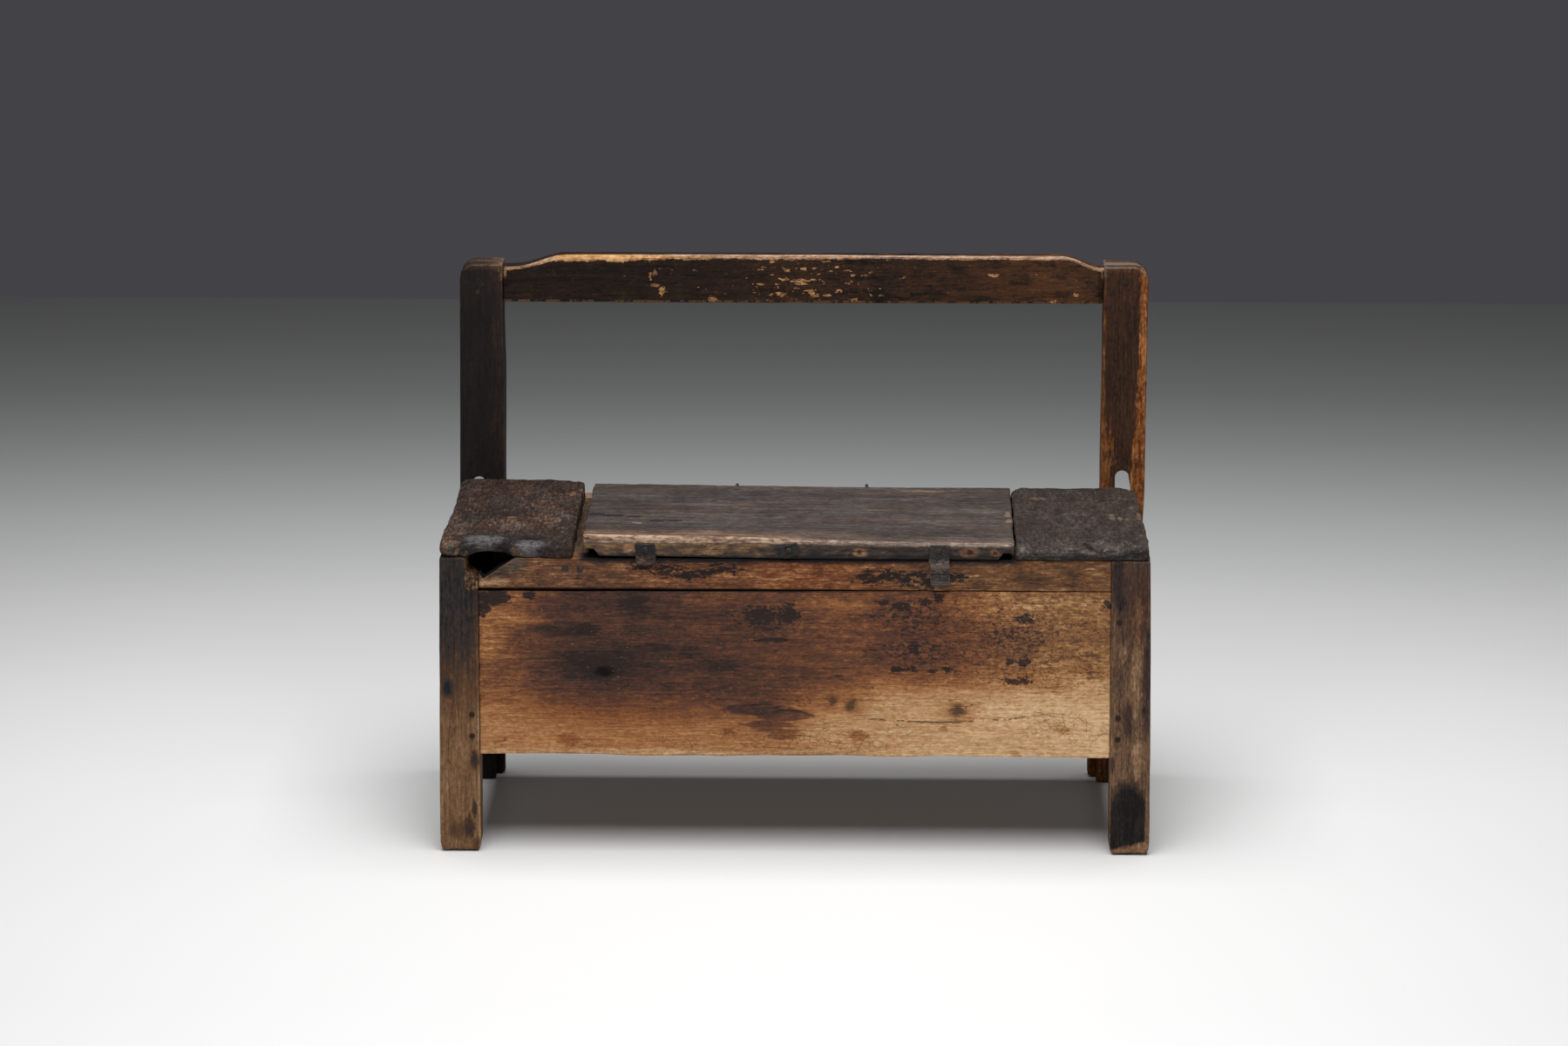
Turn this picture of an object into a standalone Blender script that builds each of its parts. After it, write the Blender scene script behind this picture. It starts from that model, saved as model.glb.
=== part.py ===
"""Chest bench: a plank chest whose lift-up lid is the seat, framed by two legs and two posts.

X runs along the bench, Y from front to back and Z up. The bench stands on Z = 0.
Tenons, pegs and nails are let into their neighbours with one small gap, FIT.
"""

import math

import bmesh
import bpy
from mathutils import Matrix, Vector

# Whole bench, in metres
WIDTH = 1.000
DEPTH = 0.380
CARCASS_BOTTOM = 0.145
FIT = 0.0003
EDGE_ROUND = 0.0025
CUT_MARGIN = 0.010
TENON_ROOT = 0.006

# Fineness of the curves
ROUND_SIDES = 12
FILLET_STEPS = 6
BEND_STEPS = 4
ARCH_STEPS = 10
CREST_STEPS = 8
RING_SEGMENTS = 20
WIRE_SEGMENTS = 8
MERGE_DISTANCE = 0.00001
CREASE_ANGLE = math.radians(40)
FLAT_ANGLE = math.radians(0.5)

# Front legs
LEG_WIDTH = 0.057
LEG_DEPTH = 0.050
LEG_HEIGHT = 0.434
FOOT_ROUND = 0.008

# Rear posts
POST_WIDTH = 0.062
POST_DEPTH = 0.050
POST_HEIGHT = 0.7815
POST_TOP_ROUND = 0.022
REBATE_WIDTH = 0.012
REBATE_DEPTH = 0.030
SLOT_OPEN_HEIGHTS = {"left": 0.012, "right": 0.026}

# Crest rail
CREST_THICKNESS = 0.030
CREST_SETBACK = 0.010
CREST_END_HEIGHT = 0.0515
CREST_DROP = 0.0055
CREST_RISE = 0.014
CREST_RISE_START = 0.036
CREST_RISE_RUN = 0.066
CREST_TENON_THICKNESS = 0.018

# Front rail and front panel
RAIL_HEIGHT = 0.045
RAIL_THICKNESS = 0.030
RAIL_SETBACK = 0.002
RAIL_TENON_HEIGHT = 0.020
RAIL_TENON_RISE = 0.0035
SEAM = 0.0012
PANEL_THICKNESS = 0.022
PANEL_SETBACK = 0.003
PANEL_TENON_HEIGHT = 0.064
PANEL_TENON_MARGIN = 0.012
TENON_THICKNESS = 0.012
TENON_LENGTH = 0.032

# Hole worn through the left end of the front rail, the leg beside it and the board above
HOLE_WIDTH = 0.052
HOLE_DEPTH = 0.032
HOLE_TIP = 0.006
HOLE_LEG_BITE = 0.016
HOLE_CORNER = 0.012
HOLE_STEPS = 10
ARCH_WIDTH = 0.064
ARCH_RISE = 0.009
ARCH_REACH = 0.047

# Side boards
SIDE_THICKNESS = 0.0245
SIDE_INSET = 0.014
SIDE_LOWER_HEIGHT = 0.155
SIDE_TENON_THICKNESS = 0.014
SIDE_TENON_LENGTH = 0.018
SIDE_TENON_HEIGHT = 0.060
SIDE_TENON_RISE = 0.020
THROUGH_TENON_HEIGHT = 0.055
THROUGH_TENON_DROP = 0.004

# Back
BACK_RAIL_HEIGHT = 0.045
BACK_BOARD_THICKNESS = 0.022
BACK_LOWER_HEIGHT = 0.125

# Floor
FLOOR_BOARDS = 4
FLOOR_THICKNESS = 0.018
FLOOR_RISE = 0.012
FLOOR_GROOVE = 0.008
FLOOR_EDGE = 0.0015
GROOVE_STOP = 0.003

# Fixed seat boards, the bearers under their inner edges and the strip behind the lid
SEAT_THICKNESS = 0.022
LEFT_BOARD_WIDTH = 0.180
RIGHT_BOARD_WIDTH = 0.182
BOARD_INSET = 0.009
BOARD_CORNER = 0.007
BOARD_EDGE = 0.004
LEFT_BOARD_BACK_CORNER = 0.010
BOARD_WORN_CORNER = 0.026
BEARER_WIDTH = 0.044
BEARER_HEIGHT = 0.030
BEARER_TENON_LENGTH = 0.010
BEARER_TENON_WIDTH = 0.028
BEARER_TENON_HEIGHT = 0.016
BEARER_TENON_RISE = 0.007
STRIP_THICKNESS = 0.014
STRIP_GAP = 0.0015
STRIP_LAP = 0.015

# Lid, thinned underneath at both ends
LID_THICKNESS = 0.030
LID_DEPTH = 0.286
LID_GAP_LEFT = 0.0155
LID_GAP_RIGHT = 0.0025
LID_LIP_LEFT = 0.018
LID_LIP_RIGHT = 0.0215
LID_LIP_CUT = 0.010
LID_EDGE = 0.0035

# Hinges: a staple in the strip, and an eye round it that is driven into the lid
HINGE_SPACING = 0.188
HINGE_SETBACK = 0.010
HINGE_DROP = 0.0065
HINGE_CLEARANCE = 0.0004
WIRE_RADIUS = 0.0025
EYE_SHANK = 0.030
STAPLE_SPAN = 0.024
STAPLE_BEND = 0.004
STAPLE_COVER = 0.0015

# Leather straps nailed to the lid's front edge
STRAP_THICKNESS = 0.003
STRAP_WIDTH = 0.0285
STRAP_CORNER = 0.003
LEFT_STRAP_INSET = 0.087
RIGHT_STRAP_INSET = 0.104
MIDDLE_STRAP_SHIFT = -0.0135
STRAP_NAIL_DROP = 0.016
STRAP_ABOVE_NAIL = 0.008
LEFT_STRAP_LENGTH = 0.031
RIGHT_STRAP_LENGTH = 0.060
MIDDLE_STRAP_LENGTH = 0.019
MIDDLE_STRAP_TILT = math.radians(16)

# Pegs and nails
PEG_RADIUS = 0.004
PEG_PROUD = 0.001
PANEL_PEG_LENGTH = 0.027
PANEL_PEG_SETBACK = 0.0125
PANEL_PEG_LOW = 0.016
PANEL_PEG_MIDDLE = 0.0475
PANEL_PEG_HIGH = 0.033
CREST_PEG_LENGTH = 0.044
LEFT_UPPER_PEG_INSET = 0.0415
LEFT_UPPER_PEG_DROP = 0.029
LEFT_LOWER_PEG_INSET = 0.0355
LEFT_LOWER_PEG_DROP = 0.040
RIGHT_UPPER_PEG_INSET = 0.030
RIGHT_UPPER_PEG_DROP = 0.022
RIGHT_LOWER_PEG_INSET = 0.046
RIGHT_LOWER_PEG_DROP = 0.037
SIDE_PEG_LENGTH = 0.042
SIDE_PEG_PROUD = 0.002
NAIL_HEAD_RADIUS = 0.0042
NAIL_HEAD_HEIGHT = 0.0016
NAIL_DOME_RADIUS = 0.0025
NAIL_DOME_HEIGHT = 0.00135
NAIL_RIM_HEIGHT = 0.0005
NAIL_RADIUS = 0.0014
NAIL_TIP_RADIUS = 0.001
NAIL_TIP_LENGTH = 0.005
RAIL_NAIL_LENGTH = 0.050
RAIL_NAIL_SPACING = 0.0205
BACK_NAIL_BITE = 0.012
STRAP_NAIL_LENGTH = 0.022

# Finishes: colour, roughness and metallic value
BLACKENED_OAK = ((0.020, 0.013, 0.010), 0.55, 0.0)
BROWN_OAK = ((0.075, 0.035, 0.017), 0.58, 0.0)
TAN_PINE = ((0.260, 0.135, 0.060), 0.65, 0.0)
GREY_SEAT = ((0.055, 0.040, 0.032), 0.70, 0.0)
BARE_INSIDE = ((0.190, 0.120, 0.070), 0.80, 0.0)
PEG_OAK = ((0.050, 0.028, 0.016), 0.60, 0.0)
OLD_LEATHER = ((0.030, 0.024, 0.022), 0.75, 0.0)
RUSTY_IRON = ((0.050, 0.030, 0.022), 0.62, 0.80)

# Places worked out from the sizes
STRAP_PROUD = FIT + STRAP_THICKNESS + FIT + NAIL_HEAD_HEIGHT
FRONT = (STRAP_PROUD - DEPTH) / 2
BACK = FRONT + DEPTH
POST_FRONT = BACK - POST_DEPTH
LEG_BACK = FRONT + LEG_DEPTH
LEG_INNER = WIDTH / 2 - LEG_WIDTH
POST_INNER = WIDTH / 2 - POST_WIDTH
REBATE_INNER = POST_INNER + REBATE_WIDTH
REBATE_BACK = POST_FRONT + REBATE_DEPTH
RAIL_BOTTOM = LEG_HEIGHT - RAIL_HEIGHT
RAIL_BACK = FRONT + RAIL_SETBACK + RAIL_THICKNESS
PANEL_TOP = RAIL_BOTTOM - SEAM
PANEL_BACK = FRONT + PANEL_SETBACK + PANEL_THICKNESS
SIDE_OUTER = WIDTH / 2 - SIDE_INSET
SIDE_INNER = SIDE_OUTER - SIDE_THICKNESS
SIDE_MIDDLE = (SIDE_OUTER + SIDE_INNER) / 2
SIDE_SPLIT = CARCASS_BOTTOM + SIDE_LOWER_HEIGHT
THROUGH_TENON_TOP = LEG_HEIGHT - THROUGH_TENON_DROP
THROUGH_TENON_BOTTOM = THROUGH_TENON_TOP - THROUGH_TENON_HEIGHT
BOARD_BOTTOM = LEG_HEIGHT + FIT
BOARD_TOP = BOARD_BOTTOM + SEAT_THICKNESS
BOARD_BACK = POST_FRONT - FIT
LEFT_BOARD_INNER = -WIDTH / 2 + BOARD_INSET + LEFT_BOARD_WIDTH
RIGHT_BOARD_INNER = WIDTH / 2 - BOARD_INSET - RIGHT_BOARD_WIDTH
LID_LEFT = LEFT_BOARD_INNER + LID_GAP_LEFT
LID_RIGHT = RIGHT_BOARD_INNER - LID_GAP_RIGHT
LID_BACK = FRONT + LID_DEPTH
LID_TOP = BOARD_BOTTOM + LID_THICKNESS
LID_MIDDLE = (LID_LEFT + LID_RIGHT) / 2
HINGE_Y = LID_BACK + HINGE_SETBACK
HINGE_Z = LID_TOP - HINGE_DROP
CREST_TOP = POST_HEIGHT - CREST_DROP
CREST_BOTTOM = CREST_TOP - CREST_END_HEIGHT
CREST_FRONT = POST_FRONT + CREST_SETBACK
CREST_BACK = CREST_FRONT + CREST_THICKNESS
BACK_BOARD_BACK = REBATE_BACK - FIT
BACK_BOARD_FRONT = BACK_BOARD_BACK - BACK_BOARD_THICKNESS
BACK_RAIL_BOTTOM = LEG_HEIGHT - BACK_RAIL_HEIGHT
BACK_SPLIT = CARCASS_BOTTOM + BACK_LOWER_HEIGHT
FLOOR_BOTTOM = CARCASS_BOTTOM + FLOOR_RISE
FLOOR_TOP = FLOOR_BOTTOM + FLOOR_THICKNESS

SIDES = {"left": -1, "right": 1}


def clear_scene():
    for obj in list(bpy.data.objects):
        bpy.data.objects.remove(obj, do_unlink=True)


def new_collection(name):
    made = bpy.data.collections.new(name)
    bpy.context.scene.collection.children.link(made)
    return made


def finish_material(name, finish):
    colour, roughness, metallic = finish
    made = bpy.data.materials.new(name + "_finish")
    made.use_nodes = True
    shader = made.node_tree.nodes["Principled BSDF"]
    shader.inputs["Base Color"].default_value = (*colour, 1.0)
    shader.inputs["Roughness"].default_value = roughness
    shader.inputs["Metallic"].default_value = metallic
    made.diffuse_color = (*colour, 1.0)
    return made


def add_part(name, data, finish):
    obj = bpy.data.objects.new(name, data)
    PARTS.objects.link(obj)
    data.materials.append(finish_material(name, finish))
    return obj


def add_helper(name, mesh):
    obj = bpy.data.objects.new(name, mesh)
    CUTTERS.objects.link(obj)
    obj.hide_render = True
    obj.display_type = "WIRE"
    return obj


def span(side, near, far):
    """X limits of a stretch between two distances from the middle, on one side."""
    return min(side * near, side * far), max(side * near, side * far)


def box_mesh(name, size):
    bm = bmesh.new()
    bmesh.ops.create_cube(bm, size=1.0)
    bmesh.ops.scale(bm, vec=size, verts=bm.verts)
    mesh = bpy.data.meshes.new(name)
    bm.to_mesh(mesh)
    bm.free()
    return mesh


def place_box(obj, low, high):
    obj.location = (Vector(low) + Vector(high)) / 2


def board(name, low, high, finish, edge=EDGE_ROUND):
    """A plank between two corners, its edges eased."""
    obj = add_part(name, box_mesh(name, Vector(high) - Vector(low)), finish)
    place_box(obj, low, high)
    ease_edges(obj, edge)
    return obj


def ease_edges(obj, width):
    bevel = obj.modifiers.new("eased_edges", "BEVEL")
    bevel.width = width
    bevel.segments = 2
    bevel.limit_method = "ANGLE"
    bevel.angle_limit = CREASE_ANGLE


def helper_box(name, low, high):
    obj = add_helper(name, box_mesh(name, Vector(high) - Vector(low)))
    place_box(obj, low, high)
    return obj


def combine(obj, helper, operation):
    modifier = obj.modifiers.new(helper.name, "BOOLEAN")
    modifier.operation = operation
    modifier.object = helper


def cut_box(obj, name, low, high):
    combine(obj, helper_box(name, low, high), "DIFFERENCE")


def mortise_and_tenon(piece, mate, name, low, high):
    """A tenon on the piece, and a mortise in the mate that is FIT larger all round."""
    combine(piece, helper_box(name + "_tenon", low, high), "UNION")
    gap = Vector((FIT, FIT, FIT))
    cut_box(mate, name + "_mortise", Vector(low) - gap, Vector(high) + gap)


def round_mesh(name, radius, length, sides=ROUND_SIDES):
    """A rod along Z whose top end is at the origin."""
    bm = bmesh.new()
    rod = {"radius1": radius, "radius2": radius, "depth": length}
    bmesh.ops.create_cone(bm, cap_ends=True, segments=sides, **rod)
    bmesh.ops.translate(bm, vec=(0, 0, -length / 2), verts=bm.verts)
    mesh = bpy.data.meshes.new(name)
    bm.to_mesh(mesh)
    bm.free()
    mesh.shade_smooth()
    mesh.set_sharp_from_angle(angle=CREASE_ANGLE)
    return mesh


def aim(obj, point, outward):
    """Stand an object's Z axis along a direction, with its origin at a point."""
    turn = Vector((0, 0, 1)).rotation_difference(Vector(outward))
    obj.rotation_euler = turn.to_euler()
    obj.location = point


def drill(obj, name, point, outward, radius, depth):
    """A round hole from a point on the surface, running in against the outward direction."""
    tool = add_helper(name, round_mesh(name, radius, depth + CUT_MARGIN))
    aim(tool, Vector(point) + CUT_MARGIN * Vector(outward), outward)
    combine(obj, tool, "DIFFERENCE")


def peg(name, point, outward, length, proud, drilled):
    """An oak peg whose outer end stands proud of the surface that it is driven into."""
    obj = add_part(name, round_mesh(name, PEG_RADIUS, length + proud), PEG_OAK)
    aim(obj, Vector(point) + proud * Vector(outward), outward)
    for mate in drilled:
        drill(mate, name + "_hole_" + mate.name, point, outward, PEG_RADIUS + FIT, length + FIT)


def nail(name, point, outward, length, drilled):
    """A forged nail: a low domed head, turned with a tapering shank."""
    profile = [
        (0.0, NAIL_HEAD_HEIGHT),
        (NAIL_DOME_RADIUS, NAIL_DOME_HEIGHT),
        (NAIL_HEAD_RADIUS, NAIL_RIM_HEIGHT),
        (NAIL_HEAD_RADIUS, 0.0),
        (NAIL_RADIUS, 0.0),
        (NAIL_TIP_RADIUS, NAIL_TIP_LENGTH - length),
        (0.0, -length),
    ]
    bm = bmesh.new()
    points = [bm.verts.new((x, 0, z)) for x, z in profile]
    for upper, lower in zip(points, points[1:]):
        bm.edges.new((upper, lower))
    mesh = bpy.data.meshes.new(name)
    bm.to_mesh(mesh)
    bm.free()
    obj = add_part(name, mesh, RUSTY_IRON)
    turn = obj.modifiers.new("turned", "SCREW")
    turn.steps = ROUND_SIDES
    turn.render_steps = ROUND_SIDES
    turn.use_merge_vertices = True
    turn.merge_threshold = MERGE_DISTANCE
    aim(obj, Vector(point) + FIT * Vector(outward), outward)
    for mate in drilled:
        drill(mate, name + "_hole_" + mate.name, point, outward, NAIL_RADIUS + FIT, length)
    return obj


def rounded(corners, steps=FILLET_STEPS):
    """Points of a closed outline whose corners, given as x, y and radius, are arcs."""
    points = []
    count = len(corners)
    for index, (x, y, radius) in enumerate(corners):
        corner = Vector((x, y))
        if radius == 0:
            points.append(corner)
            continue
        before = (Vector(corners[index - 1][:2]) - corner).normalized()
        after = (Vector(corners[(index + 1) % count][:2]) - corner).normalized()
        half = before.angle(after) / 2
        middle = corner + (before + after).normalized() * radius / math.sin(half)
        start = corner + before * radius / math.tan(half) - middle
        sweep = start.angle_signed(corner + after * radius / math.tan(half) - middle)
        for step in range(steps + 1):
            points.append(middle + Matrix.Rotation(-sweep * step / steps, 2) @ start)
    return points


def outline_mesh(name, points, thickness):
    """A flat outline in X and Y, filled and given a thickness centred on Z = 0."""
    curve = bpy.data.curves.new(name, "CURVE")
    curve.dimensions = "2D"
    curve.fill_mode = "BOTH"
    curve.extrude = thickness / 2
    spline = curve.splines.new("POLY")
    spline.points.add(len(points) - 1)
    for spot, (x, y) in zip(spline.points, points):
        spot.co = (x, y, 0, 1)
    spline.use_cyclic_u = True
    shape = bpy.data.objects.new(name + "_outline", curve)
    CUTTERS.objects.link(shape)
    bpy.context.view_layer.update()
    graph = bpy.context.evaluated_depsgraph_get()
    mesh = bpy.data.meshes.new_from_object(shape.evaluated_get(graph))
    bpy.data.objects.remove(shape, do_unlink=True)
    bm = bmesh.new()
    bm.from_mesh(mesh)
    bmesh.ops.remove_doubles(bm, verts=bm.verts, dist=MERGE_DISTANCE)
    bmesh.ops.dissolve_limit(bm, angle_limit=FLAT_ANGLE, verts=bm.verts, edges=bm.edges)
    bmesh.ops.recalc_face_normals(bm, faces=bm.faces)
    bm.to_mesh(mesh)
    bm.free()
    mesh.materials.clear()
    return mesh


def upright_outline(name, points, front, back, finish, edge=EDGE_ROUND):
    """A piece cut from a board standing across the bench: an outline in X and Z."""
    obj = add_part(name, outline_mesh(name, points, back - front), finish)
    obj.rotation_euler = (math.pi / 2, 0, 0)
    obj.location = (0, (front + back) / 2, 0)
    ease_edges(obj, edge)
    return obj


def flat_outline(name, points, bottom, top, finish, edge):
    """A piece cut from a board lying flat: an outline in X and Y."""
    obj = add_part(name, outline_mesh(name, points, top - bottom), finish)
    obj.location = (0, 0, (bottom + top) / 2)
    ease_edges(obj, edge)
    return obj


def front_legs():
    legs = {}
    for side, sign in SIDES.items():
        left, right = span(sign, LEG_INNER, WIDTH / 2)
        outline = rounded(
            [
                (left, 0, FOOT_ROUND),
                (right, 0, FOOT_ROUND),
                (right, LEG_HEIGHT, 0),
                (left, LEG_HEIGHT, 0),
            ]
        )
        legs[side] = upright_outline(f"front_{side}_leg", outline, FRONT, LEG_BACK, BROWN_OAK)
    return legs


def rear_posts():
    """Posts with a rounded outer top corner and, below the seat, a rebate for the back."""
    posts = {}
    for side, sign in SIDES.items():
        left, right = span(sign, POST_INNER, WIDTH / 2)
        outline = rounded(
            [
                (left, 0, FOOT_ROUND),
                (right, 0, FOOT_ROUND),
                (right, POST_HEIGHT, POST_TOP_ROUND if sign > 0 else 0),
                (left, POST_HEIGHT, POST_TOP_ROUND if sign < 0 else 0),
            ]
        )
        finish = BLACKENED_OAK if side == "left" else BROWN_OAK
        post = upright_outline(f"rear_{side}_post", outline, POST_FRONT, BACK, finish)
        near, far = span(sign, POST_INNER - CUT_MARGIN, REBATE_INNER)
        low = (near, POST_FRONT - CUT_MARGIN, -CUT_MARGIN)
        cut_box(post, f"{side}_rebate", low, (far, REBATE_BACK, LEG_HEIGHT + FIT))
        seat_slot(post, side, sign)
        posts[side] = post
    return posts


def seat_slot(post, side, sign):
    """An arch-topped slot right through the post: the side board's tenon fills its lower part."""
    half = SIDE_THICKNESS / 2 + FIT
    middle = sign * SIDE_MIDDLE
    bottom = THROUGH_TENON_BOTTOM - FIT
    spring = BOARD_TOP + SLOT_OPEN_HEIGHTS[side] - half
    arch = [
        (middle + half * math.cos(turn), spring + half * math.sin(turn))
        for turn in (math.pi * step / ARCH_STEPS for step in range(ARCH_STEPS + 1))
    ]
    outline = [(middle - half, bottom), (middle + half, bottom), *arch]
    tool = add_helper(
        f"{side}_slot", outline_mesh(f"{side}_slot", outline, POST_DEPTH + 2 * CUT_MARGIN)
    )
    tool.rotation_euler = (math.pi / 2, 0, 0)
    tool.location = (0, POST_FRONT + POST_DEPTH / 2, 0)
    combine(post, tool, "DIFFERENCE")


def crest_curve(sign):
    """The top of one half of the crest rail, from the shoulder up to the level middle."""
    points = []
    for step in range(CREST_STEPS + 1):
        share = step / CREST_STEPS
        x = POST_INNER - FIT - CREST_RISE_START - CREST_RISE_RUN * share
        swell = (1 - math.cos(math.pi * share)) / 2
        points.append((sign * x, CREST_TOP + CREST_RISE * swell))
    return points


def crest_rail(posts):
    """A shaped rail whose tongues lie in open slots in the post tops, right out to their ends."""
    shoulder = POST_INNER - FIT
    outline = [
        (-shoulder, CREST_BOTTOM),
        (shoulder, CREST_BOTTOM),
        (shoulder, CREST_TOP),
        *crest_curve(1),
        *reversed(crest_curve(-1)),
        (-shoulder, CREST_TOP),
    ]
    rail = upright_outline("crest_rail", outline, CREST_FRONT, CREST_BACK, BLACKENED_OAK)
    front = (CREST_FRONT + CREST_BACK - CREST_TENON_THICKNESS) / 2
    back = front + CREST_TENON_THICKNESS
    for side, sign in SIDES.items():
        tongue = rounded(
            [
                (sign * (shoulder - TENON_ROOT), CREST_BOTTOM, 0),
                (sign * WIDTH / 2, CREST_BOTTOM, 0),
                (sign * WIDTH / 2, CREST_TOP, POST_TOP_ROUND - CREST_DROP),
                (sign * (shoulder - TENON_ROOT), CREST_TOP, 0),
            ]
        )
        name = f"{side}_crest_tongue"
        helper = add_helper(name, outline_mesh(name, tongue, CREST_TENON_THICKNESS))
        helper.rotation_euler = (math.pi / 2, 0, 0)
        helper.location = (0, (front + back) / 2, 0)
        combine(rail, helper, "UNION")
        near, far = span(sign, POST_INNER - CUT_MARGIN, WIDTH / 2 + CUT_MARGIN)
        low = (near, front - FIT, CREST_BOTTOM - FIT)
        high = (far, back + FIT, POST_HEIGHT + CUT_MARGIN)
        cut_box(posts[side], f"{side}_crest_slot", low, high)
    places = {
        "left_crest_peg_upper": ("left", LEFT_UPPER_PEG_INSET, LEFT_UPPER_PEG_DROP),
        "left_crest_peg_lower": ("left", LEFT_LOWER_PEG_INSET, LEFT_LOWER_PEG_DROP),
        "right_crest_peg_upper": ("right", RIGHT_UPPER_PEG_INSET, RIGHT_UPPER_PEG_DROP),
        "right_crest_peg_lower": ("right", RIGHT_LOWER_PEG_INSET, RIGHT_LOWER_PEG_DROP),
    }
    for name, (side, inset, drop) in places.items():
        point = (SIDES[side] * (WIDTH / 2 - inset), POST_FRONT, POST_HEIGHT - drop)
        peg(name, point, (0, -1, 0), CREST_PEG_LENGTH, PEG_PROUD, [posts[side], rail])


def front_tenon(piece, legs, name, front, thickness, bottom, height):
    """The same tenon at both ends of a front piece, centred on its thickness."""
    low_y = front + (thickness - TENON_THICKNESS) / 2
    for side, sign in SIDES.items():
        near, far = span(sign, LEG_INNER - TENON_ROOT, LEG_INNER + TENON_LENGTH)
        low = (near, low_y, bottom)
        high = (far, low_y + TENON_THICKNESS, bottom + height)
        mortise_and_tenon(piece, legs[side], f"{side}_{name}", low, high)


def front_rail(legs):
    reach = LEG_INNER - FIT
    low = (-reach, FRONT + RAIL_SETBACK, RAIL_BOTTOM)
    rail = board("front_rail", low, (reach, RAIL_BACK, LEG_HEIGHT), BROWN_OAK)
    bottom = RAIL_BOTTOM + RAIL_TENON_RISE
    front = FRONT + RAIL_SETBACK
    front_tenon(rail, legs, "rail", front, RAIL_THICKNESS, bottom, RAIL_TENON_HEIGHT)
    return rail


def front_panel(legs):
    """One wide board, with a tenon above and a tenon below at each end, pegged through the legs."""
    reach = LEG_INNER - FIT
    front = FRONT + PANEL_SETBACK
    high = (reach, PANEL_BACK, PANEL_TOP)
    panel = board("front_panel", (-reach, front, CARCASS_BOTTOM), high, TAN_PINE)
    lower = CARCASS_BOTTOM + PANEL_TENON_MARGIN
    upper = PANEL_TOP - PANEL_TENON_MARGIN - PANEL_TENON_HEIGHT
    for name, bottom in (("panel_lower", lower), ("panel_upper", upper)):
        front_tenon(panel, legs, name, front, PANEL_THICKNESS, bottom, PANEL_TENON_HEIGHT)
    heights = {
        "low": lower + PANEL_PEG_LOW,
        "middle": lower + PANEL_PEG_MIDDLE,
        "high": upper + PANEL_PEG_HIGH,
    }
    for side, sign in SIDES.items():
        for place, height in heights.items():
            point = (sign * (LEG_INNER + PANEL_PEG_SETBACK), FRONT, height)
            drilled = [legs[side], panel]
            name = f"{side}_panel_peg_{place}"
            peg(name, point, (0, -1, 0), PANEL_PEG_LENGTH, PEG_PROUD, drilled)
    return panel


def side_tenon(piece, mate, name, sign, start, end, bottom, thickness, height):
    near, far = span(sign, SIDE_MIDDLE - thickness / 2, SIDE_MIDDLE + thickness / 2)
    low = (near, start, bottom)
    mortise_and_tenon(piece, mate, name, low, (far, end, bottom + height))


def side_boards(legs, posts):
    """Two boards a side. The upper one passes through the post, the lower one is pegged to the leg."""
    front = LEG_BACK + FIT
    back = POST_FRONT - FIT
    stub = (SIDE_TENON_THICKNESS, SIDE_TENON_HEIGHT)
    for side, sign in SIDES.items():
        near, far = span(sign, SIDE_INNER, SIDE_OUTER)
        stretches = {"lower": (CARCASS_BOTTOM, SIDE_SPLIT - FIT), "upper": (SIDE_SPLIT, LEG_HEIGHT)}
        for level, (bottom, top) in stretches.items():
            name = f"{side}_{level}_side"
            piece = board(f"{name}_board", (near, front, bottom), (far, back, top), BROWN_OAK)
            rise = bottom + SIDE_TENON_RISE
            start = LEG_BACK - SIDE_TENON_LENGTH
            root = front + TENON_ROOT
            side_tenon(piece, legs[side], f"{name}_front", sign, start, root, rise, *stub)
            root = back - TENON_ROOT
            if level == "upper":
                low = (near, root, THROUGH_TENON_BOTTOM)
                high = (far, BACK, THROUGH_TENON_TOP)
                combine(piece, helper_box(f"{name}_through_tenon", low, high), "UNION")
                continue
            end = POST_FRONT + SIDE_TENON_LENGTH
            side_tenon(piece, posts[side], f"{name}_rear", sign, root, end, rise, *stub)
            height = rise + SIDE_TENON_HEIGHT / 2
            point = (sign * WIDTH / 2, LEG_BACK - SIDE_TENON_LENGTH / 2, height)
            drilled = [legs[side], piece]
            peg(f"{side}_side_peg", point, (sign, 0, 0), SIDE_PEG_LENGTH, SIDE_PEG_PROUD, drilled)


def back_boards(posts):
    """A rail and two boards that lie in the posts' rebates, nailed from inside the chest."""
    reach = REBATE_INNER - FIT
    stretches = {
        "lower_back_board": (CARCASS_BOTTOM, BACK_SPLIT - FIT, BACK_BOARD_FRONT),
        "upper_back_board": (BACK_SPLIT, BACK_RAIL_BOTTOM - FIT, BACK_BOARD_FRONT),
        "back_rail": (BACK_RAIL_BOTTOM, LEG_HEIGHT, POST_FRONT),
    }
    pieces = {}
    for name, (bottom, top, front) in stretches.items():
        piece = board(name, (-reach, front, bottom), (reach, BACK_BOARD_BACK, top), BARE_INSIDE)
        pieces[name] = piece
        for side, sign in SIDES.items():
            point = (sign * (REBATE_INNER - REBATE_WIDTH / 2), front, (bottom + top) / 2)
            length = REBATE_BACK - front + BACK_NAIL_BITE
            nail(f"{side}_{name}_nail", point, (0, -1, 0), length, [piece, posts[side]])
    return pieces


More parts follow.
